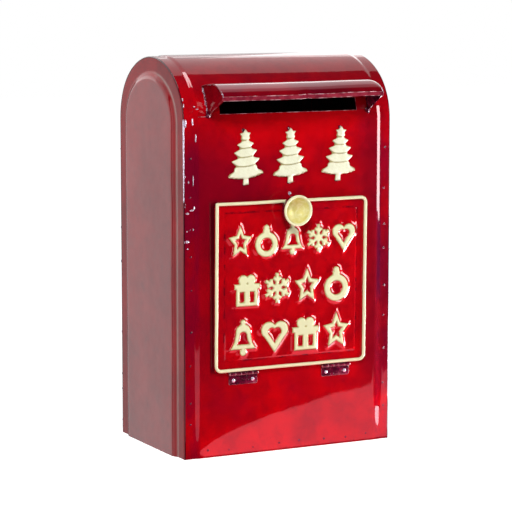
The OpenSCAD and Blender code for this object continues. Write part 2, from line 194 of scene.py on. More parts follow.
def thicken(piece, thickness, inner_material=0):
    """Gives a sheet its thickness, behind its faces."""
    solidify = piece.modifiers.new("sheet", "SOLIDIFY")
    solidify.thickness = thickness * MM
    solidify.offset = -1
    solidify.material_offset = inner_material
    bake_modifiers(piece)


def soften(piece, width, material=-1):
    """Rounds the piece's sharp edges, in a material of their own if one is given."""
    bevel = piece.modifiers.new("edges", "BEVEL")
    bevel.material = material
    bevel.width = width * MM
    bevel.segments = 2
    bevel.limit_method = "ANGLE"
    bevel.angle_limit = math.radians(35)
    bake_modifiers(piece)


def shade(piece, angle=38):
    """Smooth shading, with edges sharper than the angle kept crisp."""
    piece.data.shade_smooth()
    piece.data.set_sharp_from_angle(angle=math.radians(angle))


@contextmanager
def edited(piece):
    """The piece's mesh for editing; it is written back at the end."""
    bm = bmesh.new()
    bm.from_mesh(piece.data)
    yield bm
    bm.to_mesh(piece.data)
    bm.free()


def weld(piece, distance):
    """Joins points that lie within the distance of each other."""
    with edited(piece) as bm:
        bmesh.ops.remove_doubles(bm, verts=bm.verts, dist=distance * MM)


def drop_loose(piece):
    """Deletes points that no face uses."""
    with edited(piece) as bm:
        loose = [v for v in bm.verts if not v.link_faces]
        bmesh.ops.delete(bm, geom=loose, context="VERTS")


def outward_normals(piece):
    """Makes the faces of closed shapes look outwards."""
    with edited(piece) as bm:
        bmesh.ops.recalc_face_normals(bm, faces=bm.faces)


def face_towards(piece, direction):
    """Makes a sheet's faces look the given way on the whole."""
    with edited(piece) as bm:
        if sum(f.normal.dot(Vector(direction)) * f.calc_area() for f in bm.faces) < 0:
            bmesh.ops.reverse_faces(bm, faces=bm.faces)


def grid_faces(rows, columns, keep=None, start=0):
    """Quads of a grid of points stored row by row."""
    faces = []
    for r in range(rows - 1):
        for c in range(columns - 1):
            if keep is None or keep[r, c]:
                a = start + r * columns + c
                faces.append((a, a + 1, a + columns + 1, a + columns))
    return faces


class Solid:
    """Collects points and faces of several shapes for one piece."""

    def __init__(self):
        self.points, self.faces, self.kinds = [], [], []

    def add(self, points, faces, kind=0):
        """Adds a shape; kind is the number of its material in the piece."""
        start = len(self.points)
        self.points += [tuple(map(float, p)) for p in points]
        self.faces += [tuple(start + i for i in f) for f in faces]
        self.kinds += [kind] * len(faces)

    def bead(self, path, radii, thinnest, thickest, kind=0):
        """Adds a thin tube whose radii are held between two limits."""
        self.add(*tube(path, np.clip(radii, thinnest, thickest), 8), kind)

    def lump(self, centre, size, seed, roughness=0.18):
        """Adds a lump of solder."""
        self.add(*blob(centre, size, seed, roughness))

    def piece(self, name, materials):
        """Makes one mesh object of all shapes."""
        return make_piece(name, self.points, self.faces, materials, self.kinds)


def tube(path, radii, sides):
    """Points and faces of a closed-ended tube along a path."""
    path = np.asarray(path, float)
    radii = np.broadcast_to(radii, len(path))
    tangents = np.gradient(path, axis=0)
    tangents /= np.linalg.norm(tangents, axis=1, keepdims=True)
    up = np.array([0, 1, 0]) if abs(tangents[0][1]) < 0.9 else np.array([1, 0, 0])
    points = []
    angles = np.arange(sides) * math.tau / sides
    for centre, tangent, radius in zip(path, tangents, radii, strict=True):
        side = np.cross(tangent, up)
        side /= np.linalg.norm(side)
        up = np.cross(side, tangent)
        ring = centre + radius * (np.outer(np.cos(angles), side) + np.outer(np.sin(angles), up))
        points += list(ring)
    faces = []
    for r in range(len(path) - 1):
        for s in range(sides):
            a, b = r * sides + s, r * sides + (s + 1) % sides
            faces.append((a, b, b + sides, a + sides))
    last = (len(path) - 1) * sides
    points += [path[0] - tangents[0] * radii[0] * 0.5, path[-1] + tangents[-1] * radii[-1] * 0.5]
    for s in range(sides):
        t = (s + 1) % sides
        faces.append((len(points) - 2, t, s))
        faces.append((len(points) - 1, last + s, last + t))
    return points, faces


def lathe(profile, steps):
    """Points and faces of a profile of (radius, height) pairs turned about the local Z axis."""
    points, faces, rings = [], [], []
    for radius, height in profile:
        if radius < 1e-6:
            rings.append([len(points)] * steps)
            points.append((0, 0, height))
            continue
        rings.append(list(range(len(points), len(points) + steps)))
        for s in range(steps):
            angle = s * math.tau / steps
            points.append((radius * math.cos(angle), radius * math.sin(angle), height))
    for low, high in zip(rings, rings[1:]):
        for s in range(steps):
            corners = [low[s], low[(s + 1) % steps], high[(s + 1) % steps], high[s]]
            face = tuple(dict.fromkeys(corners))
            if len(face) > 2:
                faces.append(face)
    return np.array(points, float), faces


def facing(points, x, z, out):
    """Turns points whose axis is local Z towards the front, at (x, z) and out from the front wall."""
    points = np.asarray(points, float)
    return np.column_stack([x + points[:, 0], -HALF_D - out - points[:, 2], z + points[:, 1]])


def leaned(points, angle=DOOR_LEAN):
    """Leans points of the door outwards about the hinge axis."""
    points = np.array(points, float)
    y, z = points[:, 1] - HINGE_AXIS[1], points[:, 2] - HINGE_AXIS[2]
    points[:, 1] = HINGE_AXIS[1] + y * math.cos(angle) - z * math.sin(angle)
    points[:, 2] = HINGE_AXIS[2] + y * math.sin(angle) + z * math.cos(angle)
    return points


def blob(centre, size, seed, roughness):
    """Points and faces of a lump of solder."""
    bm = bmesh.new()
    bmesh.ops.create_icosphere(bm, subdivisions=3, radius=1)
    points = np.array([v.co for v in bm.verts], float)
    faces = [tuple(v.index for v in f.verts) for f in bm.faces]
    bm.free()
    points *= (1 + roughness * ripple(points, 1.3, seed))[:, None]
    return np.asarray(centre) + points * np.asarray(size), faces


def triangulated(outline, inner):
    """Points and triangles that fill a 2-D outline and use the given points inside it."""
    points = [Vector(p) for p in outline] + [Vector(p) for p in inner]
    coords, _, triangles, *_ = delaunay_2d_cdt(points, [], [list(range(len(outline)))], 1, 1e-5)
    return np.array([(c.x, c.y) for c in coords]), triangles


# ---- the arch ----

def arch_point(angle):
    """Point (y, z) and outward normal of the arch, by the normal's angle above the front."""
    y, z = -math.cos(angle), math.sin(angle)
    if angle < SHOULDER_ANGLE:
        return (-SHOULDER_Y + SHOULDER_R * y, SPRING_Z + SHOULDER_R * z), (y, z)
    if angle > math.pi - SHOULDER_ANGLE:
        return (SHOULDER_Y + SHOULDER_R * y, SPRING_Z + SHOULDER_R * z), (y, z)
    return (CROWN_R * y, CROWN_Z + CROWN_R * z), (y, z)


def arch_section(wall_heights, step, extra_angles=()):
    """Points and normals up the front wall, over the arch and down the back wall; symmetric."""
    quarter = set(np.radians(np.arange(0, 90, step))) | {SHOULDER_ANGLE} | set(extra_angles)
    angles = sorted(quarter | {math.pi / 2} | {math.pi - a for a in quarter})
    wall = [z for z in sorted(wall_heights) if z < SPRING_Z - 0.5]
    rows = [((-HALF_D, z), (-1.0, 0.0)) for z in wall]
    rows += [arch_point(a) for a in angles]
    rows += [((HALF_D, z), (1.0, 0.0)) for z in reversed(wall)]
    return np.array([r[0] for r in rows]), np.array([r[1] for r in rows])


def slot_angle(z):
    """Angle of the arch's normal at a height on the front shoulder."""
    return math.asin((z - SPRING_Z) / SHOULDER_R)


def shoulder_y(z):
    """Where the front shoulder lies at a height."""
    return arch_point(slot_angle(z))[0][0]


# ---- materials ----

class Look:
    """A node material on the Principled shader. A value that is a node's output is linked."""

    def __init__(self, name):
        self.material = bpy.data.materials.new(name)
        self.material.use_nodes = True
        self.tree = self.material.node_tree
        self.shader = self.tree.nodes["Principled BSDF"]
        self.place = self.add("ShaderNodeTexCoord").outputs["Object"]

    def add(self, kind, inputs=None, **properties):
        """Adds a node, with its properties and inputs."""
        node = self.tree.nodes.new(kind)
        for key, value in properties.items():
            setattr(node, key, value)
        for key, value in (inputs or {}).items():
            self.give(node.inputs[key], value)
        return node

    def give(self, socket, value):
        """Links a socket to a node's output, or sets its value."""
        if isinstance(value, bpy.types.NodeSocket):
            self.tree.links.new(value, socket)
        else:
            socket.default_value = value

    def set(self, **values):
        """Sets shader sockets, as in base_color=..., and hands back the material."""
        for key, value in values.items():
            name = key.replace("_", " ").title().replace("Ior", "IOR")
            self.give(self.shader.inputs[name], value)
        return self.material

    def noise(self, size, detail=3.0, distortion=0.0, stretch=None):
        """Noise from 0 to 1 with features of about the given size in millimetres."""
        place = self.place
        if stretch:
            place = self.add("ShaderNodeMapping", {0: place, "Scale": stretch}).outputs[0]
        return self.add("ShaderNodeTexNoise", {
            "Vector": place, "Scale": 1 / (size * MM), "Detail": detail,
            "Roughness": 0.55, "Distortion": distortion}).outputs["Fac"]

    def between(self, value, low, high, start=0.0, end=1.0):
        """Maps low..high to start..end with soft ends."""
        return self.add("ShaderNodeMapRange", {
            "Value": value, "From Min": low, "From Max": high, "To Min": start, "To Max": end},
            interpolation_type="SMOOTHSTEP").outputs["Result"]

    def patches(self, size, detail, low, high, start=0.0, end=1.0, **noise):
        """Noise of the given size, mapped as between() does."""
        return self.between(self.noise(size, detail, **noise), low, high, start, end)

    def span(self, value, rise, full, fade, gone):
        """1 from full to fade, and 0 below rise and above gone."""
        return self.times(self.between(value, rise, full), self.between(value, gone, fade))

    def math(self, operation, *values):
        """Result of a Math node."""
        return self.add("ShaderNodeMath", dict(enumerate(values)), operation=operation).outputs[0]

    def times(self, product, *others):
        """Product of all values."""
        for other in others:
            product = self.math("MULTIPLY", product, other)
        return product

    def mix(self, factor, a, b):
        """Colour between a and b."""
        return self.add("ShaderNodeMix", {0: factor, 6: a, 7: b}, data_type="RGBA").outputs[2]

    def over(self, color, *layers):
        """Lays tones over a colour. A layer is where it lies, how strong it is and its tone."""
        for where, strength, tone in layers:
            color = self.mix(self.times(where, strength), color, tone)
        return color

    def bump(self, height, distance, under=None):
        """Bump whose height of 0 to 1 is the given distance in millimetres."""
        inputs = {"Height": height, "Distance": distance * MM, "Strength": 1.0}
        if under is not None:
            inputs["Normal"] = under
        return self.add("ShaderNodeBump", inputs).outputs["Normal"]

    def kept(self, name):
        """A number stored on the vertices."""
        return self.add("ShaderNodeAttribute", attribute_name=name).outputs["Fac"]


CANDY = (0.53, 0.0004, 0.004, 1)
CANDY_DEEP = (0.20, 0.0004, 0.006, 1)
PURPLE = (0.13, 0.0006, 0.020, 1)
BLACKENED = (0.035, 0.001, 0.006, 1)
CHAMPAGNE = (0.82, 0.81, 0.50, 1)
PALE_GOLD = (0.86, 0.86, 0.63, 1)
CHAMPAGNE_SHADE = (0.34, 0.30, 0.08, 1)
DISH_GOLD = (0.70, 0.63, 0.20, 1)


def candy_color(look, pooling):
    """Translucent red over tin: bright where it is thin, purple and dark where it pooled."""
    return look.over(
        CANDY,
        (look.patches(55, 4, 0.36, 0.66), pooling, CANDY_DEEP),
        (look.patches(14, 5, 0.42, 0.72, distortion=0.6), 0.35, CANDY_DEEP),
        (look.patches(38, 3, 0.46, 0.74), 0.55 * pooling, PURPLE),
        (look.patches(1.7, 1, 0.72, 0.80), 0.45, BLACKENED))


def lacquer_skin(look):
    """Normal of lacquer that ran a little: orange peel over long waves."""
    return look.bump(look.noise(3.2, detail=2), 0.012, under=look.bump(look.noise(22, detail=1), 0.05))


def lacquer_surface(look, color, metallic=0.25, coat=1.0):
    """Clear glossy lacquer over a satin metal ground."""
    skin = lacquer_skin(look)
    return look.set(base_color=color, metallic=metallic, roughness=look.patches(9, 3, 0.3, 0.7, 0.36, 0.52),
                    specular_ior_level=0.0, normal=skin, coat_weight=coat, coat_roughness=0.03,
                    coat_ior=1.5, coat_normal=skin)


def front_lacquer(name):
    """Candy red of the wrap with painted shade and light: painted shade towards both sides, above and beside
    the door, in streaks along the side bands and over the crown, a painted dark reflection down the right
    ridge, painted light under the slot, and a dark seam line at the outer edge. x and z are metres.
    """
    look = Look(name)
    x, _, z = look.add("ShaderNodeSeparateXYZ", {0: look.place}).outputs
    off_centre = look.math("ABSOLUTE", x)
    below_arch = look.between(z, 0.345, 0.300)
    streaks = look.patches(16, 4, 0.36, 0.58, stretch=(1, 1, 0.3))
    # Painted shade: darker towards both sides below the arch, stronger on the right, fading near the foot
    # and lifted on the upper right band.
    upper_right = look.times(look.between(x, 0.105, 0.108), look.between(z, 0.20, 0.26))
    sides = look.times(look.between(off_centre, 0.066, 0.100), below_arch,
                       look.between(upper_right, 0, 1, 1.0, 0.25))
    side_shade_strength = look.times(look.between(x, -0.09, 0.09, 0.51, 0.85), look.between(z, 0.03, 0.10))
    painted_shade_above_door = look.times(look.between(x, 0.02, -0.05), look.span(z, 0.19, 0.235, 0.285, 0.325))
    painted_door_shadow = look.times(look.span(x, -0.0905, -0.0885, -0.082, -0.080),
                             look.span(z, 0.080, 0.090, 0.252, 0.262))
    painted_light_under_slot = look.times(look.between(off_centre, 0.085, 0.04), look.span(z, 0.290, 0.325, 0.338, 0.350))
    # Painted shade in streaks on the side bands beside the ridges.
    bands = look.times(look.between(off_centre, 0.0985, 0.1035), below_arch, streaks)
    # Painted dark reflection down the right ridge, between the foot and the trees.
    from_ridge = look.math("ABSOLUTE", look.math("SUBTRACT", x, 0.1045))
    ridge = look.times(look.between(from_ridge, 0.0035, 0.0008), streaks,
                       look.span(z, 0.08, 0.12, 0.245, 0.265))
    return lacquer_surface(look, look.over(
        candy_color(look, 0.45),
        # painted shade towards both sides
        (sides, side_shade_strength, (0.19, 0.0005, 0.008, 1)),
        # painted shade on the left, round and above the door's top edge
        (painted_shade_above_door, 0.78, (0.20, 0.0004, 0.010, 1)),
        # painted shadow of the door's left edge on the case
        (painted_door_shadow, 0.8, (0.05, 0.0003, 0.004, 1)),
        # painted light between the slot and the trees, where the hood casts shade
        (painted_light_under_slot, 0.6, (0.62, 0.0005, 0.003, 1)),
        # painted shade in streaks on the side bands
        (bands, 0.45, PURPLE),
        # painted dark reflection down the right ridge
        (ridge, 0.7, (0.05, 0.0008, 0.022, 1)),
        # painted shade over the crown
        (look.between(z, 0.352, 0.390), 0.65, (0.14, 0.002, 0.008, 1)),
        (look.between(off_centre, 0.1158, 0.1166), 0.85, BLACKENED)))


def hood_lacquer(name):
    """Darkened candy red, with a painted pale reflection along the hood's crest."""
    look = Look(name)
    color = look.mix(0.62, candy_color(look, 1.0), (0.10, 0.0005, 0.006, 1))
    # painted reflection along the crest
    return lacquer_surface(look, look.over(color, (look.kept("crest"), 0.4, (0.38, 0.13, 0.15, 1))))


def side_lacquer(name):
    """Darker, duller red on the end panels, with a painted highlight line where the border meets the slope.
    """
    look = Look(name)
    color = look.mix(look.patches(70, 4, 0.3, 0.7), (0.30, 0.004, 0.008, 1), (0.20, 0.002, 0.006, 1))
    color = look.over(color, (look.patches(12, 5, 0.5, 0.75), 0.25, (0.12, 0.001, 0.008, 1)),
                      (look.kept("corner"), 0.55, (0.44, 0.36, 0.33, 1)))
    return lacquer_surface(look, color, metallic=0.2, coat=look.between(look.kept("field"), 0, 1, 0.5, 1.0))


def hem_lacquer(name):
    """Dull purple on the hood's hem."""
    look = Look(name)
    color = look.mix(look.patches(7, 4, 0.35, 0.7), (0.30, 0.025, 0.045, 1), (0.17, 0.010, 0.025, 1))
    return lacquer_surface(look, color, metallic=0.2)


def pale_edge_and_highlight(name):
    """Thin pale edges: lacquer worn pale, and painted highlights on edges and bends."""
    look = Look(name)
    color = look.mix(look.patches(6, 4, 0.40, 0.62), (0.22, 0.02, 0.035, 1), (0.80, 0.50, 0.54, 1))
    return look.set(base_color=color, metallic=0.3, roughness=0.3, coat_weight=0.8, coat_roughness=0.08)


def dark_lacquer(name):
    """Lacquer that lies thick and dark over small fittings and solder, with a few painted glints."""
    look = Look(name)
    color = look.mix(look.patches(3.5, 4, 0.35, 0.7), (0.05, 0.002, 0.012, 1), (0.19, 0.006, 0.035, 1))
    color = look.over(color, (look.patches(1.1, 2, 0.66, 0.74), 0.5, (0.5, 0.42, 0.45, 1)))
    return lacquer_surface(look, color, metallic=0.3)


def solder_metal(name, cover):
    """Lumpy solder, bright metal but for the share that red lacquer still covers; its pale lavender is
    partly a painted reflection of white light.
    """
    look = Look(name)
    bare = look.patches(2.2, 4, cover - 0.06, cover + 0.06)
    return look.set(base_color=look.mix(bare, (0.16, 0.004, 0.02, 1), (0.70, 0.63, 0.76, 1)),
                    metallic=0.5, coat_weight=0.8, coat_roughness=0.05,
                    roughness=look.patches(1.5, 3, 0.3, 0.7, 0.12, 0.35),
                    normal=look.bump(look.noise(0.9), 0.12))


def gold_color(look, height, tone):
    """Champagne paint with faint brush marks, and painted shade where the stored height is low, as in
    recesses.
    """
    return look.over(tone, (look.patches(6, 4, 0.35, 0.75), 0.2, (0.70, 0.64, 0.34, 1)),
                     (look.between(height, 0.60, 0.05), 0.85, CHAMPAGNE_SHADE))


def gold_paint(name, height=None, tone=CHAMPAGNE):
    """Pale champagne gold paint, satin; height names a stored number whose low values get painted shade."""
    look = Look(name)
    scratches = look.noise(1.4, detail=4, stretch=(1, 1, 0.25))
    return look.set(base_color=gold_color(look, look.kept(height) if height else 0.9, tone),
                    metallic=0.1, coat_weight=0.3, coat_roughness=0.22,
                    roughness=look.patches(4, 3, 0.3, 0.7, 0.32, 0.46),
                    normal=look.bump(scratches, 0.03, under=look.bump(look.noise(7), 0.10)))


def dish_gold(name):
    """Yellower brushed gold inside the knob's dish."""
    look = Look(name)
    tone = look.patches(5, 4, 0.35, 0.7, distortion=0.8)
    return look.set(base_color=look.mix(tone, DISH_GOLD, (0.80, 0.75, 0.38, 1)),
                    metallic=0.2, coat_weight=0.3, coat_roughness=0.35,
                    roughness=look.patches(3, 3, 0.3, 0.7, 0.42, 0.52),
                    normal=look.bump(look.noise(6, detail=1), 0.04))


def zinc_steel(name):
    """Plain plated steel of the fittings inside."""
    look = Look(name)
    color = look.mix(look.patches(4, 5, 0.3, 0.7), (0.50, 0.50, 0.52, 1), (0.66, 0.64, 0.60, 1))
    return look.set(base_color=color, metallic=1.0, roughness=look.patches(2.5, 4, 0.3, 0.7, 0.24, 0.42),
                    normal=look.bump(look.noise(1.2, detail=4), 0.03))


def ferrite(name):
    """Matt sintered magnet with a faint grain."""
    look = Look(name)
    tone = look.noise(1.5, detail=5)
    return look.set(base_color=look.mix(tone, (0.030, 0.030, 0.034, 1), (0.075, 0.072, 0.075, 1)),
                    metallic=0.2, roughness=look.between(tone, 0.3, 0.7, 0.5, 0.7),
                    normal=look.bump(look.noise(0.8, detail=4), 0.05))


def dark_inside_shade(name):
    """The inside of the sheet: tin painted dark, as painted shade, with faint mottling."""
    look = Look(name)
    color = look.mix(look.patches(20, 5, 0.35, 0.7), (0.030, 0.004, 0.006, 1), (0.075, 0.008, 0.012, 1))
    return look.set(base_color=color, metallic=0.3, roughness=look.patches(8, 3, 0.3, 0.7, 0.45, 0.65),
                    normal=look.bump(look.noise(2.5), 0.04))


def door_look(name):
    """Red lacquer with the stamped motifs picked out in gold, by the stored distance to their edge; the gold
    gets painted shade towards the stroke edges.
    """
    look = Look(name)
    # A dark broken line along the pressed rectangle.
    dark_crease_line = look.times(look.kept("crease"), look.patches(9, 4, 0.45, 0.62))
    red = look.over(candy_color(look, 0.3), (dark_crease_line, 0.8, BLACKENED))
    ragged = look.patches(1.8, 3, 0.3, 0.7, -0.18, 0.18)
    gold = look.between(look.math("ADD", look.kept("inside"), ragged), 0.05, 0.30)
    skin = lacquer_skin(look)
    return look.set(base_color=look.mix(gold, red, gold_color(look, look.kept("relief"), CHAMPAGNE)),
                    normal=skin, coat_normal=skin, metallic=look.between(gold, 0, 1, 0.25, 0.10),
                    roughness=look.patches(6, 3, 0.3, 0.7, 0.34, 0.48), specular_ior_level=0.0,
                    coat_weight=look.between(gold, 0, 1, 1.0, 0.25), coat_roughness=0.05, coat_ior=1.5)


def floor_look(name):
    """White backdrop: it shines a little towards the camera, so only contact shadows show on it."""
    look = Look(name)
    color = look.mix(look.noise(180, detail=2), (0.80, 0.80, 0.80, 1), (0.84, 0.84, 0.84, 1))
    seen = look.add("ShaderNodeLightPath").outputs["Is Camera Ray"]
    return look.set(base_color=color, roughness=0.9, specular_ior_level=0.0,
                    emission_color=(1, 1, 1, 1), emission_strength=look.times(seen, 0.7))


RED_FRONT = front_lacquer("red_lacquer_front")
RED_SIDE = side_lacquer("red_lacquer_side")
RED_HOOD = hood_lacquer("red_lacquer_hood")
HEM = hem_lacquer("hem_lacquer")
PALE_EDGE_AND_HIGHLIGHT = pale_edge_and_highlight("pale_edge_and_highlight")
DARK = dark_lacquer("dark_lacquer")
SOLDER = solder_metal("solder_and_highlights", cover=0.5)
BRIGHT = solder_metal("bright_solder_and_highlights", cover=0.34)
GOLD = gold_paint("champagne_gold")
GOLD_PAINTED_SHADE = gold_paint("champagne_gold_painted_shade", height="relief", tone=PALE_GOLD)
DISH = dish_gold("dish_gold")
STEEL = zinc_steel("zinc_steel")
MAGNET = ferrite("ferrite")
INSIDE_SHADE = dark_inside_shade("dark_inside_shade")
DOOR = door_look("door_lacquer_and_gold")


# ---- case ----

def wrap_relief(x, y, z):
    """How far the wrap stands out from the plain arch: side bands, round edges, waves and a bend."""
    front = y < -SHOULDER_Y
    # the right ridge is crisp above and softens below the trees
    low_right = smooth((250 - z) / 40) * front * (x > 0)
    half_step = 2.6 + 2.6 * low_right
    inset = BAND_INSET * smooth((np.abs(x) - RIDGE_X + half_step) / (2 * half_step))
    rounding = np.clip(np.abs(x) - (HALF_W - 1), 0, 1)
    inset = inset + 1 - np.sqrt(1 - rounding**2)
    field = smooth((RIDGE_X - np.abs(x)) / 30)
    sheet = np.stack([x, y, z], axis=-1)
    waves = 0.12 * ripple(sheet, 120, 3) + 0.03 * ripple(sheet, 34, 4)
    bend = 0.30 * bell(z - BEND_Z - 0.5, 1.6) * smooth((np.abs(x) - 70) / 25) * front
    return field * waves - inset - bend * smooth((HALF_W - 3 - np.abs(x)) / 10)


def wrap_piece():
    """The sheet bent over front, arch and back, with its side bands, slot and door opening."""
    at_ridge = [RIDGE_X + d for d in (-9, -7, -5.5, -4.2, -3.2, -2.4, -1.6, -0.8,
                                      0, 0.8, 1.6, 2.4, 3.2, 4.5)]
    at_edge = [HALF_W - d for d in (3, 1.5, 1.0, 0.7, 0.4, 0.15, 0)]
    xs = mirrored(list(spaced(0, OPENING_HALF_W, 4.2)) + [SLOT_HALF_W, 82, 86, 90]
                  + at_ridge + [BAND_X, BAND_X + 2] + at_edge)
    walls = set(spaced(0, OPENING_LOW, 4)) | set(spaced(OPENING_LOW, OPENING_HIGH, 5))
    walls |= set(spaced(OPENING_HIGH, SPRING_Z, 4))
    section, normals = arch_section(walls, 1.8, [slot_angle(SLOT_LOW), slot_angle(SLOT_HIGH)])
    x = np.broadcast_to(xs, (len(section), len(xs)))
    y = np.broadcast_to(section[:, :1], x.shape)
    z = np.broadcast_to(section[:, 1:], x.shape)
    out = wrap_relief(x, y, z)
    shape = np.stack([x, y + out * normals[:, :1], z + out * normals[:, 1:]], axis=-1)
    middle_x = (xs[1:] + xs[:-1]) / 2
    middle = (section[1:] + section[:-1]) / 2
    on_front = middle[:, 0] < -SHOULDER_Y

    def hole(half_w, low, high):
        rows = on_front & (middle[:, 1] > low) & (middle[:, 1] < high)
        return rows[:, None] & (np.abs(middle_x) < half_w)[None, :]

    keep = ~(hole(SLOT_HALF_W, SLOT_LOW, SLOT_HIGH) | hole(OPENING_HALF_W, OPENING_LOW, OPENING_HIGH))
    piece = make_piece("case_wrap", shape.reshape(-1, 3), grid_faces(*x.shape, keep), [RED_FRONT, INSIDE_SHADE])
    drop_loose(piece)
    thicken(piece, SHEET, inner_material=1)
    shade(piece)
    return piece


def end_panel_piece(side):
    """Arched end panel: folded flange, flat border, sloping edge and the pressed field."""
    section, normals = arch_section(spaced(0, SPRING_Z, 7), 2.2)
    rise = FIELD_X - HALF_W
    ease = 2.0
    profile = [(-WALL_IN, -FLANGE), (-WALL_IN, -1.6), (-WALL_IN - 0.15, -0.6), (-WALL_IN - 0.6, -0.15),
               (-WALL_IN - 1.4, 0), (-5, 0), (-9, 0), (-12.5, 0), (-14.2, 0)]
    for u in np.linspace(-BORDER_W + ease, -BORDER_W - SLOPE_W - ease, 15):
        profile.append((u, rise * soft_ramp((-BORDER_W - u) / SLOPE_W, ease / SLOPE_W)))
    profile.append((-28, rise))
    n = len(section)
    rings = [np.column_stack([np.full(n, HALF_W + out), section + normals * u]) for u, out in profile]
    inner = rings[-1]
    half, columns = n // 2, 22
    faces = grid_faces(len(rings), n)
    faces += [face[::-1] for face in grid_faces(half + 1, columns, start=len(rings) * n)]
    field = [inner[i] * (1 - t) + inner[n - 1 - i] * t
             for i in range(half + 1) for t in np.linspace(0, 1, columns)]
    points = np.concatenate(rings + [field])
    inside = smooth((points[:, 0] - HALF_W - 1) / (rise - 1))
    at_front = smooth((10 - points[:, 1]) / 50)
    # Painted highlight: a pale line along the front half where the border meets the slope.
    corner = np.zeros(len(points))
    corner[:len(rings) * n] = np.repeat([bell(u + BORDER_W - 0.4, 1.3) for u, _ in profile], n)
    dents = 0.35 * ripple(points[:, 1:], 130, 11 + side) + 0.07 * ripple(points[:, 1:], 45, 21 + side)
    flat = points[:, 0] > HALF_W - 0.05
    points[:, 0] += flat * (dents - 0.35) * (0.25 + 0.75 * inside) * 0.8
    points[:, 0] *= side
    name = "left_end_panel_skin" if side < 0 else "right_end_panel_skin"
    piece = make_piece(name, points, faces, [RED_SIDE, INSIDE_SHADE])
    store(piece, "field", inside)
    store(piece, "corner", corner * at_front)
    weld(piece, 0.05)
    face_towards(piece, (side, 0, 0))
    thicken(piece, SHEET, inner_material=1)
    shade(piece)
    return piece


def soft_ramp(t, soft):
    """0 before 0 and 1 after 1, straight between, with both corners rounded over the given share."""
    def below(v):
        return 0 if v < -soft else (v + soft)**2 / (4 * soft) if v < soft else v
    return below(t) - below(t - 1)


def weld_marks():
    """Small raised rings left by the spot welder along the foot and the side bands."""
    solid = Solid()
    rng = np.random.default_rng(5)
    points, faces = lathe([(1.5, -0.3), (1.35, 0.05), (1.0, 0.16), (0.6, 0.08), (0.0, -0.02)], 16)
    foot_z = 7

    def mark(x, z, out, front):
        ring = facing(points * rng.uniform(0.75, 1.05), x, z, out)
        solid.add(ring if front else ring * [-1, -1, 1], faces)

    for front in (True, False):
        for x in np.arange(-94, 95, 26.5):
            mark(x + rng.uniform(-3, 3), foot_z + rng.uniform(-1, 1), 0, front)
        for z in np.arange(30, 325, 33.5):
            for side in (-1, 1):
                mark(side * (BAND_X + rng.uniform(-1, 1)), z + rng.uniform(-7, 7), -BAND_INSET, front)
    return solid.piece("spot_weld_marks", [DARK])


# Pale lumps beside the left front seam, solder drips and painted highlights, such as the long ones on the
# ridge at z 337 and 321: x, z and half sizes across and up.
SEAM_DRIPS_AND_HIGHLIGHTS = [(-115.6, 336, 1.3, 4.5), (-108.0, 337, 1.0, 4.2), (-104.2, 321, 0.9, 5.0),
                (-113.5, 247, 2.2, 1.1), (-109.0, 250, 2.8, 1.0), (-106.2, 252, 1.0, 2.0),
                (-107.2, 231, 0.6, 1.3), (-113.6, 219, 2.0, 1.6), (-113.4, 212, 1.0, 1.2),
                (-107.2, 279, 0.5, 6.0), (-112.2, 278, 0.8, 1.6), (-104.6, 352, 1.6, 0.6),
                (-101.6, 349.5, 1.8, 0.6), (-115.9, 353, 0.7, 2.4), (-115.8, 359, 0.5, 1.8)]


def seam_bead(x, y):
    """Path and radii of a pale bead up the left front seam that thickens towards its top; it is solder and a
    painted highlight line on that corner.
    """
    z = spaced(258, 340, 1.6)
    heights = np.column_stack([z, z])
    radii = 0.45 + 0.35 * smooth((z - 262) / 70) + 0.06 * ripple(heights, 11, 31)
    radii[0] = radii[-1] = 0.15
    return np.column_stack([x + 0.08 * ripple(heights, 14, 32), np.full(len(z), y), z]), radii


def seam_solder_and_highlights():
    """Solder where the end panels meet the wrap, specks on all seams; on the left front seam a pale bead and
    lumps that are partly painted highlights.
    """
    solid = Solid()
    rng = np.random.default_rng(17)
    for side in (-1, 1):
        x = side * (HALF_W - 0.15)
        for front in (-1, 1):
            y = front * (HALF_D - BAND_INSET - 0.25)
            rich = side < 0 and front < 0
            if rich:
                solid.bead(*seam_bead(x, y), 0.25, 1.1)
                for lump_x, z, wide, high in SEAM_DRIPS_AND_HIGHLIGHTS:
                    wall_y = -HALF_D + BAND_INSET * (lump_x < -RIDGE_X) - 0.1
                    centre = (lump_x, shoulder_y(z) if z > SPRING_Z else wall_y, z)
                    solid.lump(centre, (0.8 * wide, 0.7, 0.85 * high), int(z), 0.2)
            for z in rng.triangular(150, 300, 345, 8) if rich else rng.uniform(8, 330, 7):
                size = rng.uniform(0.3, 0.8, 3) * (1, 0.7, 1.7)
                inward = abs(rng.normal(0, 1.5)) if rich else 0
                solid.lump((x - side * inward, y, z), size, int(z * 10))
    return solid.piece("seam_solder_and_highlights", [BRIGHT])


# ---- hood ----

def hood_section(step=2.2):
    """Outer outline (y, z) of the hood from the shell over its crest to the lip."""
    back_centre = HOOD_CREST_Z - HOOD_BACK_R
    front_centre = HOOD_CREST_Z - HOOD_FRONT_R
    back = [(y, back_centre + math.sqrt(HOOD_BACK_R**2 - (y - HOOD_CREST_Y)**2))
            for y in spaced(-63.6, HOOD_CREST_Y, step)]
    turn = math.asin((HOOD_CREST_Y - HOOD_LIP_Y - 0.2) / HOOD_FRONT_R)
    front = [(HOOD_CREST_Y - HOOD_FRONT_R * math.sin(a), front_centre + HOOD_FRONT_R * math.cos(a))
             for a in np.linspace(0, turn, 16)[1:]]
    return back + front


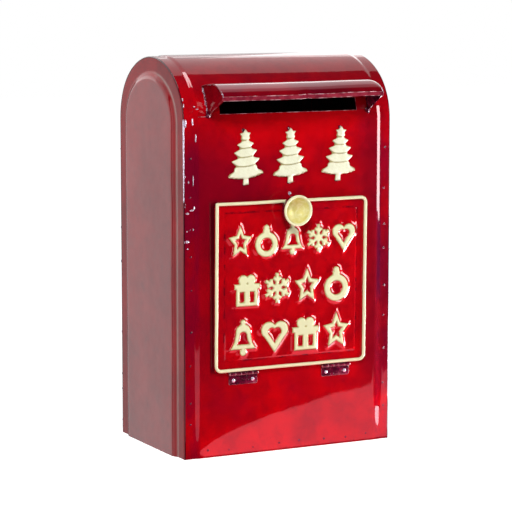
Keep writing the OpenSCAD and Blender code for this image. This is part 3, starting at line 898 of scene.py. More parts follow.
def hood_twist(points):
    """The hood was bent by hand: its right end is drawn in and up a little."""
    points = np.array(points, float)
    along = smooth((points[:, 0] + 0.35 * HOOD_HALF_W) / (1.3 * HOOD_HALF_W))
    reach = np.clip((-HALF_D + 6 - points[:, 1]) / 35, 0, 1.2)
    points[:, 1] += 3.2 * along * reach
    points[:, 2] += 1.0 * along * reach
    points[:, 0] -= 0.9 * along * reach * (points[:, 0] > 0)
    end = np.clip((points[:, 0] - HOOD_HALF_W + 9) / 9, 0, 1)
    share = np.clip((points[:, 2] - HOOD_HEM_Z) / (HOOD_CREST_Z - HOOD_HEM_Z), 0, 1)
    points[:, 2] -= 5.0 * (1 - np.sqrt(1 - 0.98 * end**2)) * share * smooth(reach / 0.4)
    return points


def lip_wave(points):
    """Shift (y, z) of the hood's sheet: slightly wavy, with a dent in the middle of the lip."""
    at_lip = smooth((-points[:, 1] - 103) / 8)
    dent = bell(points[:, 0] - 2, 3.5) * at_lip
    wave = 0.3 * ripple(points[:, :1] @ np.ones((1, 2)), 70, 8)
    out = at_lip * (0.3 + 0.3 * wave) + 0.9 * dent
    up = 0.25 * wave * smooth((-points[:, 1] - 70) / 15) - 0.25 + 0.5 * dent
    return np.column_stack([out, up])


def hood_piece():
    """Bent sheet over the slot with a turned-down hem and a small dent in the middle of its lip."""
    outline = hood_section()
    lip_y, lip_z = outline[-1]
    hem = [(lip_y - 0.15, lip_z - 0.7), (lip_y - 0.1, lip_z - 1.6),
           (lip_y + 0.02, lip_z - 2.8), (lip_y + 0.12, HOOD_HEM_Z + 0.05)]
    rows = np.array(outline + hem)
    xs = mirrored(list(spaced(0, 80.5, 3.5)) + [82, 83.5, 85, 86.5, 88, 89.2, 90.2, 91]
                  + [HOOD_HALF_W - d for d in (0.6, 0.3, 0)])
    points = np.array([(x, y, z) for y, z in rows for x in xs])
    points[:, 1:] += lip_wave(points)
    faces = grid_faces(len(rows), len(xs))
    hem_start = (len(outline) - 1) * (len(xs) - 1)
    on_hem = [i >= hem_start for i in range(len(faces))]
    piece = make_piece("hood_sheet", hood_twist(points), faces, [RED_HOOD, HEM, DARK], on_hem)
    # Painted reflection: pale from the shell over the crest, down to where the front curve has turned 41
    # degrees.
    sheen_edge_y = HOOD_CREST_Y - HOOD_FRONT_R * math.sin(math.radians(41))
    painted_crest_sheen = smooth((rows[:, 0] - sheen_edge_y) / 0.8 + 0.5)
    store(piece, "crest", np.repeat(painted_crest_sheen, len(xs)))
    face_towards(piece, (0, 0, 1))
    thicken(piece, SHEET, inner_material=2)
    soften(piece, 0.2)
    shade(piece)
    return piece


def pale_edge_and_highlight_lines():
    """Pale lines: the hood's lip and hem and the slot's cut edge, where the lacquer is worn, and a painted
    highlight along the bend beside the hood.
    """
    solid = Solid()

    def line(path, seed):
        radii = 0.26 + 0.12 * ripple(path, 25, seed)
        solid.bead(path, radii, 0.08, 0.4)

    def level(x, y, z):
        return np.column_stack([x, np.full(len(x), y), np.full(len(x), z)])

    def on_front(x, z):
        return level(x, shoulder_y(z) + 0.05, z)

    along_hood = spaced(-CHEEK_X, CHEEK_X, 2.5)
    lip_z = hood_section()[-1][1]
    for z, y_shift, seed in ((lip_z - 0.1, 0.05, 55), (HOOD_HEM_Z + 0.25, 0.15, 56)):
        path = level(along_hood, HOOD_LIP_Y + 0.3 + y_shift, z)
        path[:, 1:] += lip_wave(path)
        line(hood_twist(path), seed)
    line(on_front(spaced(-SLOT_HALF_W, SLOT_HALF_W, 2.5), SLOT_LOW - 0.1), 57)
    # painted highlight along the bend where the front starts to curve
    line(on_front(spaced(-RIDGE_X + 2, -CHEEK_X - 2, 1.5), BEND_Z), 58)
    upright = spaced(SLOT_LOW, SLOT_HIGH, 1.5)
    beside_slot = np.full(len(upright), SLOT_HALF_W + 0.1)
    line(np.column_stack([beside_slot, [shoulder_y(z) + 0.05 for z in upright], upright]), 59)
    return solid.piece("pale_edge_and_highlight_lines", [PALE_EDGE_AND_HIGHLIGHT])


def cheek_outline():
    """Outline (y, z) of a hood end, scribed to the shell."""
    top = [(y, z - 0.9) for y, z in hood_section(3.0)]
    lip_foot = (HOOD_LIP_Y + 0.9, HOOD_HEM_Z + 0.3)
    angles = np.linspace(slot_angle(CHEEK_FOOT_Z), math.radians(39), 10)
    shell = [(y - 0.1, z) for (y, z), _ in map(arch_point, angles)]
    return top + [lip_foot] + shell


def cheek_piece(side):
    """Triangular end of the hood, slightly dished, with thick lacquer on its edges."""
    outline = np.array(cheek_outline())
    (low_y, low_z), (high_y, high_z) = outline.min(axis=0), outline.max(axis=0)
    grid = np.array([(y, z) for y in np.arange(low_y + 2, high_y - 1, 2.2)
                     for z in np.arange(low_z + 1.5, high_z - 1, 2.2)])
    flat, triangles = triangulated(outline, grid[signed_distance(grid, [outline]) < -0.8])
    depth = -signed_distance(flat, [outline])
    dish = 0.9 * smooth(depth / 7) + 0.25 * ripple(flat, 9, 41 + side)
    points = hood_twist(np.column_stack([side * (CHEEK_X - dish), flat]))
    name = "left_hood_end" if side < 0 else "right_hood_end"
    piece = make_piece(name, points, triangles, [DARK if side > 0 else RED_HOOD])
    face_towards(piece, (side, 0, 0))
    thicken(piece, SHEET)
    shade(piece, 50)
    return piece


def hood_solder():
    """Ragged solder where the hood's ends meet the shell, and dabs at their feet."""
    solid = Solid()
    rng = np.random.default_rng(23)
    for side in (-1, 1):
        path, radii = [], []
        for angle in np.linspace(slot_angle(CHEEK_FOOT_Z + 2), math.radians(37), 40):
            (y, z), (out_y, out_z) = arch_point(angle)
            wobble = rng.normal(0, 0.25)
            path.append((side * (CHEEK_X + 0.2 + wobble), y - 0.2 * out_y, z - 0.2 * out_z))
            radii.append(0.75 + 0.5 * abs(rng.normal()))
        # The left bead is pale solder, a painted highlight along that seam; the right one is dark.
        solid.bead(hood_twist(path), radii, 0.5, 1.7, kind=int(side < 0))
        foot = hood_twist([(side * (CHEEK_X - 0.3), -HALF_D - 0.2, CHEEK_FOOT_Z + 1.0)])[0]
        for step, size in (((0, 0, 0), (2.5, 1.7, 2.3)), ((side * 1.2, -0.3, 2.6), (1.6, 1.3, 2.0)),
                           ((-side * 1.5, -0.1, 1.6), (1.7, 1.2, 1.5))):
            solid.lump(foot + step, size, rng.integers(1000), 0.28)
    return solid.piece("hood_solder", [DARK, SOLDER])


def hood_edge_beads():
    """Pale beads along the hood's end seams: solder standing for painted highlights on the seam edges."""
    solid = Solid()
    outline = np.array(hood_section(3.0)[5:])
    for side in (-1, 1):
        x = np.full(len(outline), side * (CHEEK_X + 0.25))
        path = hood_twist(np.column_stack([x, outline[:, 0], outline[:, 1] - 1.1]))
        radii = 0.55 + 0.25 * ripple(path, 7, 51 + side)
        solid.bead(path, radii, 0.2, 0.8)
    return solid.piece("hood_end_seams", [SOLDER])


# ---- outlines read from the frame ----

def signed_distance(points, loops):
    """Distance of 2-D points to the nearest outline, negative inside."""
    points = np.asarray(points, float).reshape(-1, 2)
    nearest = np.full(len(points), 1e9)
    inside = np.zeros(len(points), bool)
    for loop in loops:
        for a, b in zip(loop, np.roll(loop, -1, axis=0), strict=True):
            edge = b - a
            along = np.clip((points - a) @ edge / max(edge @ edge, 1e-12), 0, 1)
            gap = points - a - along[:, None] * edge
            nearest = np.minimum(nearest, (gap**2).sum(1))
            crosses = (a[1] > points[:, 1]) != (b[1] > points[:, 1])
            if crosses.any():
                at = a[0] + (points[:, 1] - a[1]) * edge[0] / (edge[1] or 1e-12)
                inside ^= crosses & (points[:, 0] < at)
    return np.where(inside, -1, 1) * np.sqrt(nearest)


def connected(faces):
    """Groups of the given faces that share edges."""
    left = dict.fromkeys(faces)
    groups = []
    while left:
        queue = [left.popitem()[0]]
        group = dict.fromkeys(queue)
        while queue:
            for edge in queue.pop().edges:
                for face in edge.link_faces:
                    if face in left:
                        del left[face]
                        group[face] = None
                        queue.append(face)
        groups.append(group)
    return groups


def border_rings(patch):
    """Closed rings of point numbers round a group of faces."""
    follow = {}
    for face in patch:
        for loop in face.loops:
            if sum(f in patch for f in loop.edge.link_faces) == 1:
                follow[loop.vert.index] = loop.link_loop_next.vert.index
    rings = []
    while follow:
        start, at = follow.popitem()
        ring = [start]
        while at != start and at in follow:
            ring.append(at)
            at = follow.pop(at)
        rings.append(ring)
    return rings


def front_patches(node, lean=0.0):
    """Flat patches of a CAD node that face the front once its lean is undone: (y, outline loops in x, z)."""
    bm = bmesh.new()
    bm.from_mesh(frame["nodes"][node].data)
    bmesh.ops.remove_doubles(bm, verts=bm.verts, dist=1e-6)
    places = leaned(np.array([v.co for v in bm.verts]) / MM, -lean)
    towards = Vector((0, -math.cos(lean), -math.sin(lean)))
    patches = []
    for patch in connected(f for f in bm.faces if f.normal.dot(towards) > 0.9999):
        level = np.mean([places[v.index][1] for f in patch for v in f.verts])
        patches.append((level, [places[ring][:, [0, 2]] for ring in border_rings(patch)]))
    bm.free()
    return patches


def dense(loop, step):
    """An outline with points no further apart than the step."""
    out = []
    for a, b in zip(loop, np.roll(loop, -1, axis=0), strict=True):
        count = max(1, math.ceil(np.linalg.norm(b - a) / step))
        out += [a + (b - a) * t / count for t in range(count)]
    return np.array(out)


# ---- trees ----

TREES = ("tree_left", "tree_middle", "tree_right")
TREE_TIERS = [0.33, 0.495, 0.655, 0.795]
TREE_SKIRT = 0.12
TREE_LEAN = 0.075


def share_of_tier(height):
    """How far up its own tier a height lies, from 0 to 1; 0.7 on the trunk."""
    edges = [TREE_SKIRT] + TREE_TIERS + [1.02]
    share = np.full(len(height), 0.7)
    for low, high in zip(edges, edges[1:]):
        inside = (height >= low) & (height < high)
        share[inside] = (height[inside] - low) / (high - low)
    return share


def tree_outline(loop, foot, across, up, height):
    """The CAD outline with swept-in tiers, a scalloped skirt and a slimmer trunk."""
    rim = dense(loop, 0.6)
    local = (rim - foot) @ np.column_stack([across, up]) / height
    middle = TREE_LEAN * local[:, 1]
    share = share_of_tier(local[:, 1])
    below_star = smooth((TREE_TIERS[-1] - local[:, 1]) / 0.03)
    skirt = local[:, 1] < TREE_TIERS[0]
    flare = 0.23 * bell(share - 0.66, 0.24) - 0.07 * bell(share - 0.18, 0.12)
    pinch = np.where(skirt, flare, 0.24 * bell(share - 0.92, 0.17))
    pinch = (pinch + 0.10 * smooth((0.14 - share) / 0.14)) * below_star
    pinch[local[:, 1] < TREE_SKIRT - 0.01] = 0.22
    local[:, 0] = middle + (local[:, 0] - middle) * (1 - pinch)
    lift = np.where(skirt, 0.08, 0.15)
    local[:, 1] += lift * (local[:, 0] - middle)**2 * below_star
    scallop = 0.006 * np.sin(local[:, 0] * math.tau / 0.085) * smooth((0.35 - share) / 0.2) * below_star
    local[:, 1] -= scallop * (np.abs(local[:, 0] - middle) > 0.05)
    return foot + local * height @ np.stack([across, up])


def rounded(loop):
    """A closed outline with its corners worn round."""
    for _ in range(2):
        loop = 0.5 * loop + 0.25 * (np.roll(loop, 1, axis=0) + np.roll(loop, -1, axis=0))
    return loop


def tree_front(node):
    """Level (y) and plain outline of a CAD tree's front."""
    level, loops = min(front_patches(node), key=lambda patch: patch[0])
    return level, loops[0]


def tree_frame(loop):
    """Foot of a leaning tree's outline, its directions across and up, and its height."""
    lowest = loop[np.argsort(loop[:, 1])[:2]]
    foot = lowest.mean(axis=0)
    across = lowest[np.argmax(lowest[:, 0])] - lowest[np.argmin(lowest[:, 0])]
    across = across / np.linalg.norm(across)
    up = np.array([-across[1], across[0]])
    return foot, across, up, ((loop - foot) @ up).max()


def stamped_solid(flat, top, triangles, back):
    """Points and faces of a stamping: its front, the wall round it and its flat back."""
    points = [(p[0], back - h, p[1]) for p, h in zip(flat, top, strict=True)]
    faces = [tuple(reversed(t)) for t in triangles]
    edges = dict.fromkeys((a, b) for face in faces for a, b in zip(face, face[1:] + face[:1]))
    follow = {a: b for a, b in edges if (b, a) not in edges}
    foot_of = {}
    for a in follow:
        foot_of[a] = len(points)
        points.append((flat[a][0], back, flat[a][1]))
    faces += [(b, a, foot_of[a], foot_of[b]) for a, b in follow.items()]
    start = next(iter(follow))
    ring, at = [foot_of[start]], follow[start]
    while at != start:
        ring.append(foot_of[at])
        at = follow[at]
    return points, faces + [tuple(ring)]


def tree_piece(node):
    """Stamped tree: puffed tiers that overlap in curved creases, a star and a trunk."""
    level, plain = tree_front(node)
    back = node_box(node)[1][1]
    relief = 1.7 * (back - level)
    foot, across, up, height = tree_frame(plain)
    loop = rounded(tree_outline(plain, foot, across, up, height))
    columns, rows = (np.arange(loop[:, i].min(), loop[:, i].max(), 0.6) for i in (0, 1))
    grid = np.stack(np.meshgrid(columns, rows), -1).reshape(-1, 2)
    flat, triangles = triangulated(loop, grid[signed_distance(grid, [loop]) < -0.4])
    depth = np.maximum(0, -signed_distance(flat, [loop]))
    local = (flat - foot) @ np.column_stack([across, up]) / height
    off_middle = local[:, 0] - TREE_LEAN * local[:, 1]
    tier_height = local[:, 1] - 0.5 * np.clip(np.abs(off_middle), 0, 0.4)**2
    share = share_of_tier(tier_height)
    pillow = np.sqrt(1 - (1 - np.clip(depth / 3.4, 0, 1))**2)
    top = relief * (0.22 + 0.78 * pillow * (1.0 - 0.42 * share))
    top += 0.09 * ripple(flat, 2.6, 61) + 0.08 * ripple(flat, 7, 62)
    points, faces = stamped_solid(flat, top, triangles, back)
    piece = make_piece(f"{node}_stamping", points, faces, [GOLD_PAINTED_SHADE])
    # Painted shade for the gold: dark in the curved creases under each tier and over each tier's lower half,
    # more so on the right.
    under = sum(bell(tier_height - t - 0.002, 0.017) for t in TREE_TIERS)
    low = smooth((0.5 - share) / 0.5) * (0.55 + 0.45 * smooth(off_middle / 0.3))
    painted_tier_shade = np.zeros(len(points))
    painted_tier_shade[:len(flat)] = np.clip(0.2 + 0.8 * pillow - 0.75 * under - 0.75 * low, 0, 1)
    store(piece, "relief", painted_tier_shade)
    outward_normals(piece)
    shade(piece, 60)
    return piece


def tree_solder():
    """Dark solder showing at the tip and the trunk of each tree."""
    solid = Solid()
    for i, node in enumerate(TREES):
        loop = tree_front(node)[1]
        tip = loop[np.argmax(loop[:, 1])]
        trunk = tree_frame(loop)[0]
        solid.lump((tip[0] - 2.1, -HALF_D, tip[1] - 1.2), (1.6, 0.9, 1.9), 71 + i, 0.3)
        solid.lump((trunk[0] - 1.8, -HALF_D, trunk[1] + 0.2), (1.7, 0.9, 1.3), 81 + i, 0.3)
    return solid.piece("tree_solder", [DARK])


# ---- door ----

MOUND_W, MOUND_H, RAMP_W = 6.0, 1.5, 4.4
STROKE_ROUNDING = 2.9


def motif_relief(flat, motifs):
    """Of each point: how far inside a stamped stroke it lies, its height, and its share of the relief, which
    gives painted shade towards the stroke edges.
    """
    inside = np.full(len(flat), -MOUND_W)
    height = np.zeros(len(flat))
    relief = np.zeros(len(flat))
    for loops in motifs:
        outline = np.concatenate(loops)
        low, high = outline.min(0), outline.max(0)
        near = np.all((flat > low - MOUND_W) & (flat < high + MOUND_W), axis=1)
        distance = signed_distance(flat[near], loops)
        beyond = np.maximum(distance, 0)
        ramp = (1 - np.minimum(beyond, RAMP_W) / RAMP_W)**2
        mound = (MOUND_H - 0.25) * ramp + 0.25 * (1 - smooth(beyond / MOUND_W))
        depth = np.clip(-distance / STROKE_ROUNDING, 0, 1)
        pillow = np.sqrt(1 - (1 - depth)**2)
        height[near] = np.maximum(height[near], mound + (MOTIF_RISE - MOUND_H) * pillow)
        inside[near] = np.maximum(inside[near], -distance)
        relief[near] = np.maximum(relief[near], depth)
    return inside, height, relief


def door_piece():
    """Door sheet with a faint pressed rectangle and the stamped motifs."""
    patches = front_patches("door_panel", DOOR_LEAN)
    motifs = [loops for level, loops in patches if abs(level + HALF_D + MOTIF_FACE) < 0.05]
    step, edge, frame_in = 0.8, 1.2, 11.0
    xs = [-DOOR_HALF_W, *spaced(-DOOR_HALF_W + edge, DOOR_HALF_W - edge, step), DOOR_HALF_W]
    zs = [DOOR_LOW, *spaced(DOOR_LOW + edge, DOOR_HIGH - edge, step), DOOR_HIGH]
    x, z = np.meshgrid(xs, zs)
    flat = np.column_stack([x.ravel(), z.ravel()])
    inside, height, relief = motif_relief(flat, motifs)
    to_edge = np.minimum(DOOR_HALF_W - np.abs(flat[:, 0]),
                         np.minimum(flat[:, 1] - DOOR_LOW, DOOR_HIGH - flat[:, 1]))
    crease = bell(to_edge - frame_in, 0.9)
    height += 0.25 * smooth((to_edge - frame_in) / 1.5) - 0.1 * crease
    height += smooth(to_edge / 12) * (0.16 * ripple(flat, 60, 14) + 0.05 * ripple(flat, 22, 15))
    height = np.clip(height, -0.3, MOTIF_RISE)
    points = np.column_stack([flat[:, 0], -HALF_D - DOOR_FACE - height, flat[:, 1]])
    corner_cut(points)
    piece = make_piece("door_sheet", leaned(points), grid_faces(*x.shape), [DOOR, INSIDE_SHADE])
    store(piece, "inside", inside)
    # The share of the relief darkens the gold towards the stroke edges: painted shade.
    store(piece, "relief", relief)
    store(piece, "crease", crease)
    face_towards(piece, (0, -1, 0))
    thicken(piece, SHEET, inner_material=1)
    shade(piece, 60)
    return piece


def corner_cut(points):
    """Rounds the sheet's four corners by drawing their points in; the wire covers them."""
    for side in (-1, 1):
        for z, up in ((DOOR_LOW, 1), (DOOR_HIGH, -1)):
            centre = np.array([side * (DOOR_HALF_W - DOOR_CORNER_R), z + up * DOOR_CORNER_R])
            gap = points[:, [0, 2]] - centre
            outside = (gap[:, 0] * side > 0) & (gap[:, 1] * up < 0)
            length = np.linalg.norm(gap, axis=1)
            far = outside & (length > DOOR_CORNER_R)
            share = DOOR_CORNER_R / length[far]
            points[far, 0] = centre[0] + gap[far, 0] * share
            points[far, 2] = centre[1] + gap[far, 1] * share


def door_flanges():
    """Folded edges behind the door's sheet on both sides and along the top, in the dark inside colour:
    painted shade in the gap round the door.
    """
    solid = Solid()
    half_sheet = SHEET / 2
    depths = np.linspace(0.5, DOOR_FACE - 0.3, 4)
    along = np.linspace(0, 1, 24)
    x_side, z_top, clear = DOOR_HALF_W - half_sheet, DOOR_HIGH - half_sheet, DOOR_CORNER_R
    low, high, half_w = DOOR_LOW + clear, DOOR_HIGH - clear, DOOR_HALF_W - clear

    def point(run, t, side, out):
        (x0, z0), (x1, z1), across = run
        shift = side * (half_sheet - 0.02)
        return (x0 + (x1 - x0) * t + across[0] * shift, -HALF_D - out,
                z0 + (z1 - z0) * t + across[1] * shift)

    for run in (((-x_side, low), (-x_side, high), (1, 0)), ((x_side, low), (x_side, high), (1, 0)),
                ((-half_w, z_top), (half_w, z_top), (0, 1))):
        for side in (-1, 1):
            wall = [point(run, t, side, out) for t in along for out in depths]
            solid.add(leaned(wall), grid_faces(len(along), len(depths)))
        rim = [point(run, t, side, depths[0]) for t in along for side in (-1, 1)]
        solid.add(leaned(rim), grid_faces(len(along), 2))
    # Dark inside colour: painted shade in the gap round the door.
    piece = solid.piece("door_flanges", [INSIDE_SHADE])
    weld(piece, 0.01)
    shade(piece)
    return piece


def wire_piece():
    """Wire soldered round the door: three bent corners, and a butted corner at the upper left."""
    half_w = DOOR_HALF_W - WIRE_R
    low, high = DOOR_LOW + WIRE_R, DOOR_HIGH - WIRE_R
    r = DOOR_CORNER_R
    path = [(-half_w, z) for z in spaced(high, low + r, 6)]
    bottom = [(x, low) for x in spaced(-half_w + r, half_w - r, 6)[1:-1]]
    right = [(half_w, z) for z in spaced(low + r, high - r, 6)[1:-1]]
    top = [(x, high) for x in spaced(half_w - r, -half_w + 0.4, 6)[1:]]
    bends = ((-half_w + r, low + r, 180, bottom), (half_w - r, low + r, 270, right),
             (half_w - r, high - r, 0, top))
    for centre_x, centre_z, start, run in bends:
        path += [(centre_x + r * math.cos(a), centre_z + r * math.sin(a))
                 for a in np.radians(np.linspace(start, start + 90, 9))]
        path += run
    path = np.array(path)
    wobble = 0.12 * np.column_stack([ripple(path, 60, 18), ripple(path, 48, 19)])
    path = path + wobble * smooth(np.arange(len(path)) / 6)[:, None]
    points = np.column_stack([path[:, 0], np.full(len(path), -HALF_D - WIRE_OUT), path[:, 1]])
    solid = Solid()
    solid.add(*tube(leaned(points), WIRE_R * (1 + 0.015 * ripple(path, 17, 20)), 20))
    corner = leaned([(-half_w + 0.3, -HALF_D - WIRE_OUT + 0.1, high - 0.2)])[0]
    solid.lump(corner, (2.0, 1.55, 1.9), 91, 0.08)
    piece = solid.piece("door_wire", [GOLD])
    shade(piece, 60)
    return piece


def knob_profile():
    """Outside of the dished knob from its foot to the rim, then the dish to its centre."""
    rim_z = KNOB_HEIGHT - KNOB_RIM_R
    side_r = KNOB_R - 0.15
    flare = side_r - KNOB_FOOT_R
    flare_r = (flare**2 + rim_z**2) / (2 * flare)
    outer = [(0.0, 0.0), (KNOB_FOOT_R - 0.4, 0.0), (KNOB_FOOT_R, 0.25)]
    for t in np.linspace(0, 1, 16)[1:]:
        h = 0.25 + (rim_z - 0.25) * t
        outer.append((side_r - flare_r + math.sqrt(flare_r**2 - (rim_z - h)**2), h))
    rim = [(KNOB_R - KNOB_RIM_R + KNOB_RIM_R * math.cos(a), rim_z + KNOB_RIM_R * math.sin(a))
           for a in np.radians(np.linspace(0, 180, 13))[1:]]
    mouth = KNOB_R - 2 * KNOB_RIM_R
    drop = BOWL_DEPTH - KNOB_RIM_R
    bowl_r = (mouth**2 + drop**2) / (2 * drop)
    bowl_z = KNOB_HEIGHT - BOWL_DEPTH + bowl_r
    start = math.asin(mouth / bowl_r)
    bowl = [(bowl_r * math.sin(a), bowl_z - bowl_r * math.cos(a)) for a in np.linspace(start, 0, 22)[1:]]
    return outer, rim, bowl


def knob_piece():
    """Dished knob: dark lacquered outside, pale rim and yellower gold dish."""
    outer, rim, bowl = knob_profile()
    points, faces = lathe(outer + rim + bowl, 72)

    def kind(face):
        x, y, height = points[list(face)].mean(axis=0)
        radius = math.hypot(x, y)
        on_wall = radius > KNOB_R - 2.2 * KNOB_RIM_R
        if on_wall and height > KNOB_HEIGHT - KNOB_RIM_R * 1.9:
            return 0
        return 1 if on_wall or height < 3.5 and radius > 4 else 2

    turned = leaned(facing(points, 0, KNOB_Z, DOOR_FACE))
    piece = make_piece("knob_dish", turned, faces, [GOLD, DARK, DISH], [kind(face) for face in faces])
    outward_normals(piece)
    shade(piece, 50)
    return piece


# ---- hinges ----

def leaf_outline(first, height):
    """Outline (x, z from the axis) of a leaf that hangs from its own knuckles."""
    half, clear, corner = HINGE_W / 2, 2.1, 1.4
    outline = []
    for i in range(KNUCKLES):
        x0, x1 = -half + i * KNUCKLE_W, -half + (i + 1) * KNUCKLE_W
        own = i % 2 == first
        gap, top = (0.12, 0) if own else (-0.12, -clear)
        outline += [(x0 + (gap if i else 0), top), (x1 - (gap if i < KNUCKLES - 1 else 0), top)]
    arc = [(half - corner + corner * math.cos(a), -height + corner + corner * math.sin(a))
           for a in np.radians(np.linspace(0, -90, 5))]
    return np.array(outline + arc + [(-x, z) for x, z in reversed(arc)])


def along_axis(points, x):
    """Lays points whose axis is local Z along the hinge axis, from the given x."""
    return np.column_stack([x + points[:, 2], HINGE_AXIS[1] + points[:, 1], HINGE_AXIS[2] + points[:, 0]])


def hinge_leaf(name, x0, on_door):
    """One leaf with its knuckles rolled round the pin."""
    first = 1 if on_door else 0
    outline = leaf_outline(first, DOOR_LEAF_H if on_door else CASE_LEAF_H)
    if on_door:
        outline[:, 1] *= -1
    solid = Solid()
    n = len(outline)
    low = 0.5 if on_door else 0.02
    leaf = [(x0 + x, -HALF_D - out, HINGE_AXIS[2] + z)
            for out in (low, low + LEAF_T - 0.02) for x, z in outline]
    walls = [(i, i + n, (i + 1) % n + n, (i + 1) % n) for i in range(n)]
    solid.add(leaf, [tuple(range(n)), tuple(range(2 * n - 1, n - 1, -1)), *walls])
    ring = [(PIN_R + 0.1, 0.1), (PIN_R + 0.1, 0.0), (BARREL_R - 0.2, 0.0), (BARREL_R, 0.2)]
    width = KNUCKLE_W - 0.2
    knuckle, faces = lathe(ring + [(r, width - h) for r, h in reversed(ring)] + ring[:1], 28)
    for i in range(first, KNUCKLES, 2):
        solid.add(along_axis(knuckle, x0 - HINGE_W / 2 + i * KNUCKLE_W + 0.1), faces)
    if on_door:
        solid.points = leaned(solid.points)
    piece = solid.piece(name, [DARK, PALE_EDGE_AND_HIGHLIGHT])
    outward_normals(piece)
    # Rounded edges in the pale edge colour: painted edge highlights and wear.
    soften(piece, 0.22, material=1)
    shade(piece, 40)
    return piece


def dome_rivets(name, spots, radius, height, seed):
    """Domed rivet heads, each struck a little differently."""
    solid = Solid()
    rng = np.random.default_rng(seed)
    shank = [(0, -1.2), (radius * 0.55, -1.2), (radius * 0.55, -0.1), (radius * 0.97, -0.05)]
    dome = [(radius * math.cos(a), height * math.sin(a)) for a in np.radians(np.linspace(0, 90, 8))]
    points, faces = lathe(shank + dome, 24)
    for x, z, out in spots:
        shape = points.copy()
        shape[:, 2] *= rng.uniform(0.85, 1.0)
        shape[:, :2] *= rng.uniform(0.92, 1.0)
        shape[:, 2] += 0.06 * ripple(points, 2.5, int(rng.integers(1000))) * (points[:, 2] > 0)
        solid.add(facing(shape, x, z, out), faces)
    piece = solid.piece(name, [BRIGHT])
    outward_normals(piece)
    shade(piece, 50)
    return piece


def hinge_pin(name, x0):
    """Hinge pin with upset heads."""
    half = HINGE_W / 2 + 0.05
    head = [(0, -half - 0.5), (0.9, -half - 0.5), (1.25, -half - 0.3), (1.3, -half), (PIN_R, -half)]
    points, faces = lathe(head + [(r, -h) for r, h in reversed(head)], 24)
    piece = make_piece(name, along_axis(points, x0), faces, [STEEL])
    outward_normals(piece)
    shade(piece, 40)
    return piece


# ---- build ----

def fit(piece, body, slot, *nodes):
    """Rides a piece on its body and hides the CAD nodes that it stands for; the slot is not used."""
    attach(piece, body)
    if nodes:
        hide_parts(*nodes)


fit(wrap_piece(), "case", "red_lacquer", "wrap_shell")
fit(end_panel_piece(-1), "case", "red_lacquer", "left_end_panel")
fit(end_panel_piece(1), "case", "red_lacquer", "right_end_panel")
fit(weld_marks(), "case", "dark_lacquer")
fit(seam_solder_and_highlights(), "case", "dark_lacquer")
fit(hood_piece(), "case", "red_lacquer", "slot_hood")
fit(cheek_piece(-1), "case", "red_lacquer", "left_hood_cheek")
fit(cheek_piece(1), "case", "red_lacquer", "right_hood_cheek")
fit(hood_solder(), "case", "dark_lacquer", "hood_solder_dabs")
fit(hood_edge_beads(), "case", "dark_lacquer")
fit(pale_edge_and_highlight_lines(), "case", "red_lacquer")
for tree in TREES:
    fit(tree_piece(tree), "case", "gold_paint", tree)
fit(tree_solder(), "case", "dark_lacquer", "tree_solder_dabs")

fit(door_piece(), "door", "red_lacquer", "door_panel")
fit(door_flanges(), "door", "red_lacquer")
fit(wire_piece(), "door", "gold_paint", "door_wire_frame")
fit(knob_piece(), "door", "knob_gold", "knob_cup")

for x0, side in zip(HINGE_XS, ("left", "right"), strict=True):
    fit(hinge_leaf(f"{side}_case_leaf", x0, False), "case", "dark_lacquer", f"{side}_hinge_case_leaf")
    fit(hinge_leaf(f"{side}_door_leaf", x0, True), "door", "dark_lacquer", f"{side}_hinge_door_leaf")
    fit(hinge_pin(f"{side}_pin", x0), "case", "bare_steel", f"{side}_hinge_pin")

hinge_spots = [(x0 + side * (HINGE_W / 2 - RIVET_INSET), HINGE_AXIS[2] - RIVET_DROP, LEAF_T)
               for x0 in HINGE_XS for side in (-1, 1)]
fit(dome_rivets("hinge_rivet_heads", hinge_spots, 2.0, 1.15, 7), "case", "dark_lacquer", "case_hinge_rivets")
catch_low, catch_high = node_box("catch_rivet")
catch_spot = [(0, (catch_low[2] + catch_high[2]) / 2, 0)]
fit(dome_rivets("catch_rivet_head", catch_spot, 1.8, 1.05, 8), "case", "dark_lacquer", "catch_rivet")

for node, material in (("base_pan", INSIDE_SHADE), ("catch_bracket", STEEL), ("catch_magnet", MAGNET),
                       ("knob_stud", STEEL), ("knob_washer", STEEL), ("knob_nut", STEEL)):
    part = frame["nodes"][node]
    for i in range(len(part.data.materials)):
        part.data.materials[i] = material


# ---- studio ----

def studio_floor():
    """White floor with contact shadows; the gloss doesn't mirror it."""
    half = 6000
    points = [(-half, -half, 0), (half, -half, 0), (half, half, 0), (-half, half, 0)]
    floor = make_piece("floor", points, [(0, 1, 2, 3)], [floor_look("pale_floor")])
    floor.visible_glossy = False


def softbox(name, centre, target, width, height, radiance, lights_matt=False):
    """A rectangle that the camera doesn't see; it either lights matt surfaces or is mirrored by gloss."""
    data = bpy.data.lights.new(name, "AREA")
    data.shape = "RECTANGLE"
    data.size, data.size_y = width * MM, height * MM
    data.energy = radiance * math.pi * data.size * data.size_y
    lamp = bpy.data.objects.new(name, data)
    back = (Vector(centre) - Vector(target)).normalized()
    across = Vector((0, 0, 1)).cross(back).normalized() if abs(back.z) < 0.999 else Vector((1, 0, 0))
    turn = Matrix((across, back.cross(across), back)).transposed()
    lamp.matrix_world = Matrix.Translation(Vector(centre) * MM) @ turn.to_4x4()
    lamp.visible_camera = False
    lamp.visible_diffuse = lights_matt
    lamp.visible_glossy = not lights_matt
    bpy.context.scene.collection.objects.link(lamp)


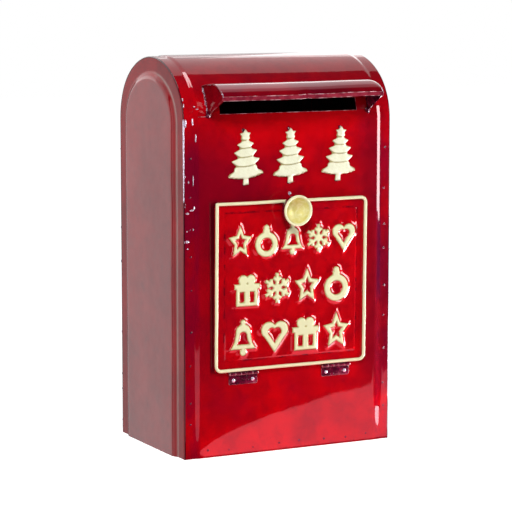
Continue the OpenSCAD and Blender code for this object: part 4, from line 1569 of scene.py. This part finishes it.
def glow_card(name, height, corners, radiance):
    """A flat patch of bright table that only glossy surfaces mirror; radiance is red, green, blue."""
    material = bpy.data.materials.new(name)
    material.use_nodes = True
    shader = material.node_tree.nodes["Principled BSDF"]
    shader.inputs["Base Color"].default_value = (0, 0, 0, 1)
    shader.inputs["Specular IOR Level"].default_value = 0.0
    shader.inputs["Emission Color"].default_value = (*radiance, 1)
    shader.inputs["Emission Strength"].default_value = 1.0
    points = [(x, y, height) for x, y in corners]
    card = make_piece(name, points, [tuple(range(len(corners)))], [material])
    card.visible_camera = card.visible_diffuse = card.visible_shadow = card.visible_transmission = False


def studio_lights():
    """Softboxes for the gloss to mirror, one for matt surfaces, and glowing patches of table."""
    for name, centre, target, width, height, radiance in (
            ("overhead", (300, 1785, 1700), (300, 1785, 0), 5200, 3030, 1.05),
            ("backdrop", (900, 3200, 1350), (900, 0, 1350), 6000, 1300, 0.95),
            ("back_left", (-950, 1500, 550), (-100, 0, 250), 1900, 2300, 1.15),
            ("left", (-1500, 150, 300), (-100, 0, 250), 900, 1400, 1.3),
            ("back_right", (1500, 1300, 600), (100, 0, 250), 1400, 1800, 1.2),
            ("ridge_streak", (110, -130, 1700), (110, -130, 0), 260, 860, 9),
            ("key_right", (1290, -920, 420), (100, -78, 250), 480, 700, 15),
            ("front_left", (-900, -1300, 700), (-117, -78, 300), 160, 1200, 12)):
        softbox(name, centre, target, width, height, radiance)
    softbox("fill_front", (-800, -1700, 1700), (0, 0, 250), 600, 600, 36, lights_matt=True)
    for name, height, radiance, corners in (
            ("bright_table", 2, (44, 40, 43), [(300, -118), (300, -228), (420, -250), (620, -360),
                                               (900, -520), (900, -118)]),
            ("ridge_table", 2, (13, 10.5, 11.5), [(137, -104), (145, -118), (177, -158), (212, -199),
                                                  (240, -176), (160, -96), (144, -96)]),
            ("left_table", 2, (2.4, 0.7, 0.9), [(-150, -150), (-105, -150), (-80, -200), (0, -396),
                                                (120, -700), (-150, -700)]),
            ("near_table", 1, (3.5, 0.85, 1.1), [(-95, -80), (-95, -98), (-78, -117), (-34, -166),
                                                 (68, -244), (254, -349), (334, -435), (272, -332),
                                                 (230, -262), (200, -205), (190, -140), (119, -80)])):
        glow_card(name, height, corners, radiance)


def studio_world():
    """White to the camera, even fill for matt surfaces, and a dark room for the gloss to mirror."""
    world = bpy.data.worlds.new("studio")
    bpy.context.scene.world = world
    world.use_nodes = True
    nodes, links = world.node_tree.nodes, world.node_tree.links
    rays = nodes.new("ShaderNodeLightPath")
    fill, seen = nodes.new("ShaderNodeMix"), nodes.new("ShaderNodeMix")
    fill.data_type = seen.data_type = "RGBA"
    fill.inputs[6].default_value = (0.015, 0.013, 0.018, 1)
    fill.inputs[7].default_value = (0.42, 0.42, 0.44, 1)
    seen.inputs[7].default_value = (1, 1, 1, 1)
    links.new(rays.outputs["Is Diffuse Ray"], fill.inputs[0])
    links.new(rays.outputs["Is Camera Ray"], seen.inputs[0])
    links.new(fill.outputs[2], seen.inputs[6])
    links.new(seen.outputs[2], nodes["Background"].inputs["Color"])


def studio_camera():
    """Seen from the front left and slightly above, with a long lens."""
    data = bpy.data.cameras.new("camera")
    data.lens, data.sensor_width = 154.0, 36.0
    data.clip_end = 100
    camera = bpy.data.objects.new("camera", data)
    camera.location = Vector((-1032.44, -2014.52, 480.92)) * MM
    camera.rotation_euler = (math.radians(90 - 7.33), 0, math.radians(-27.18))
    bpy.context.scene.collection.objects.link(camera)
    bpy.context.scene.camera = camera


studio_floor()
studio_lights()
studio_world()
studio_camera()
bpy.context.scene.view_settings.view_transform = "Standard"
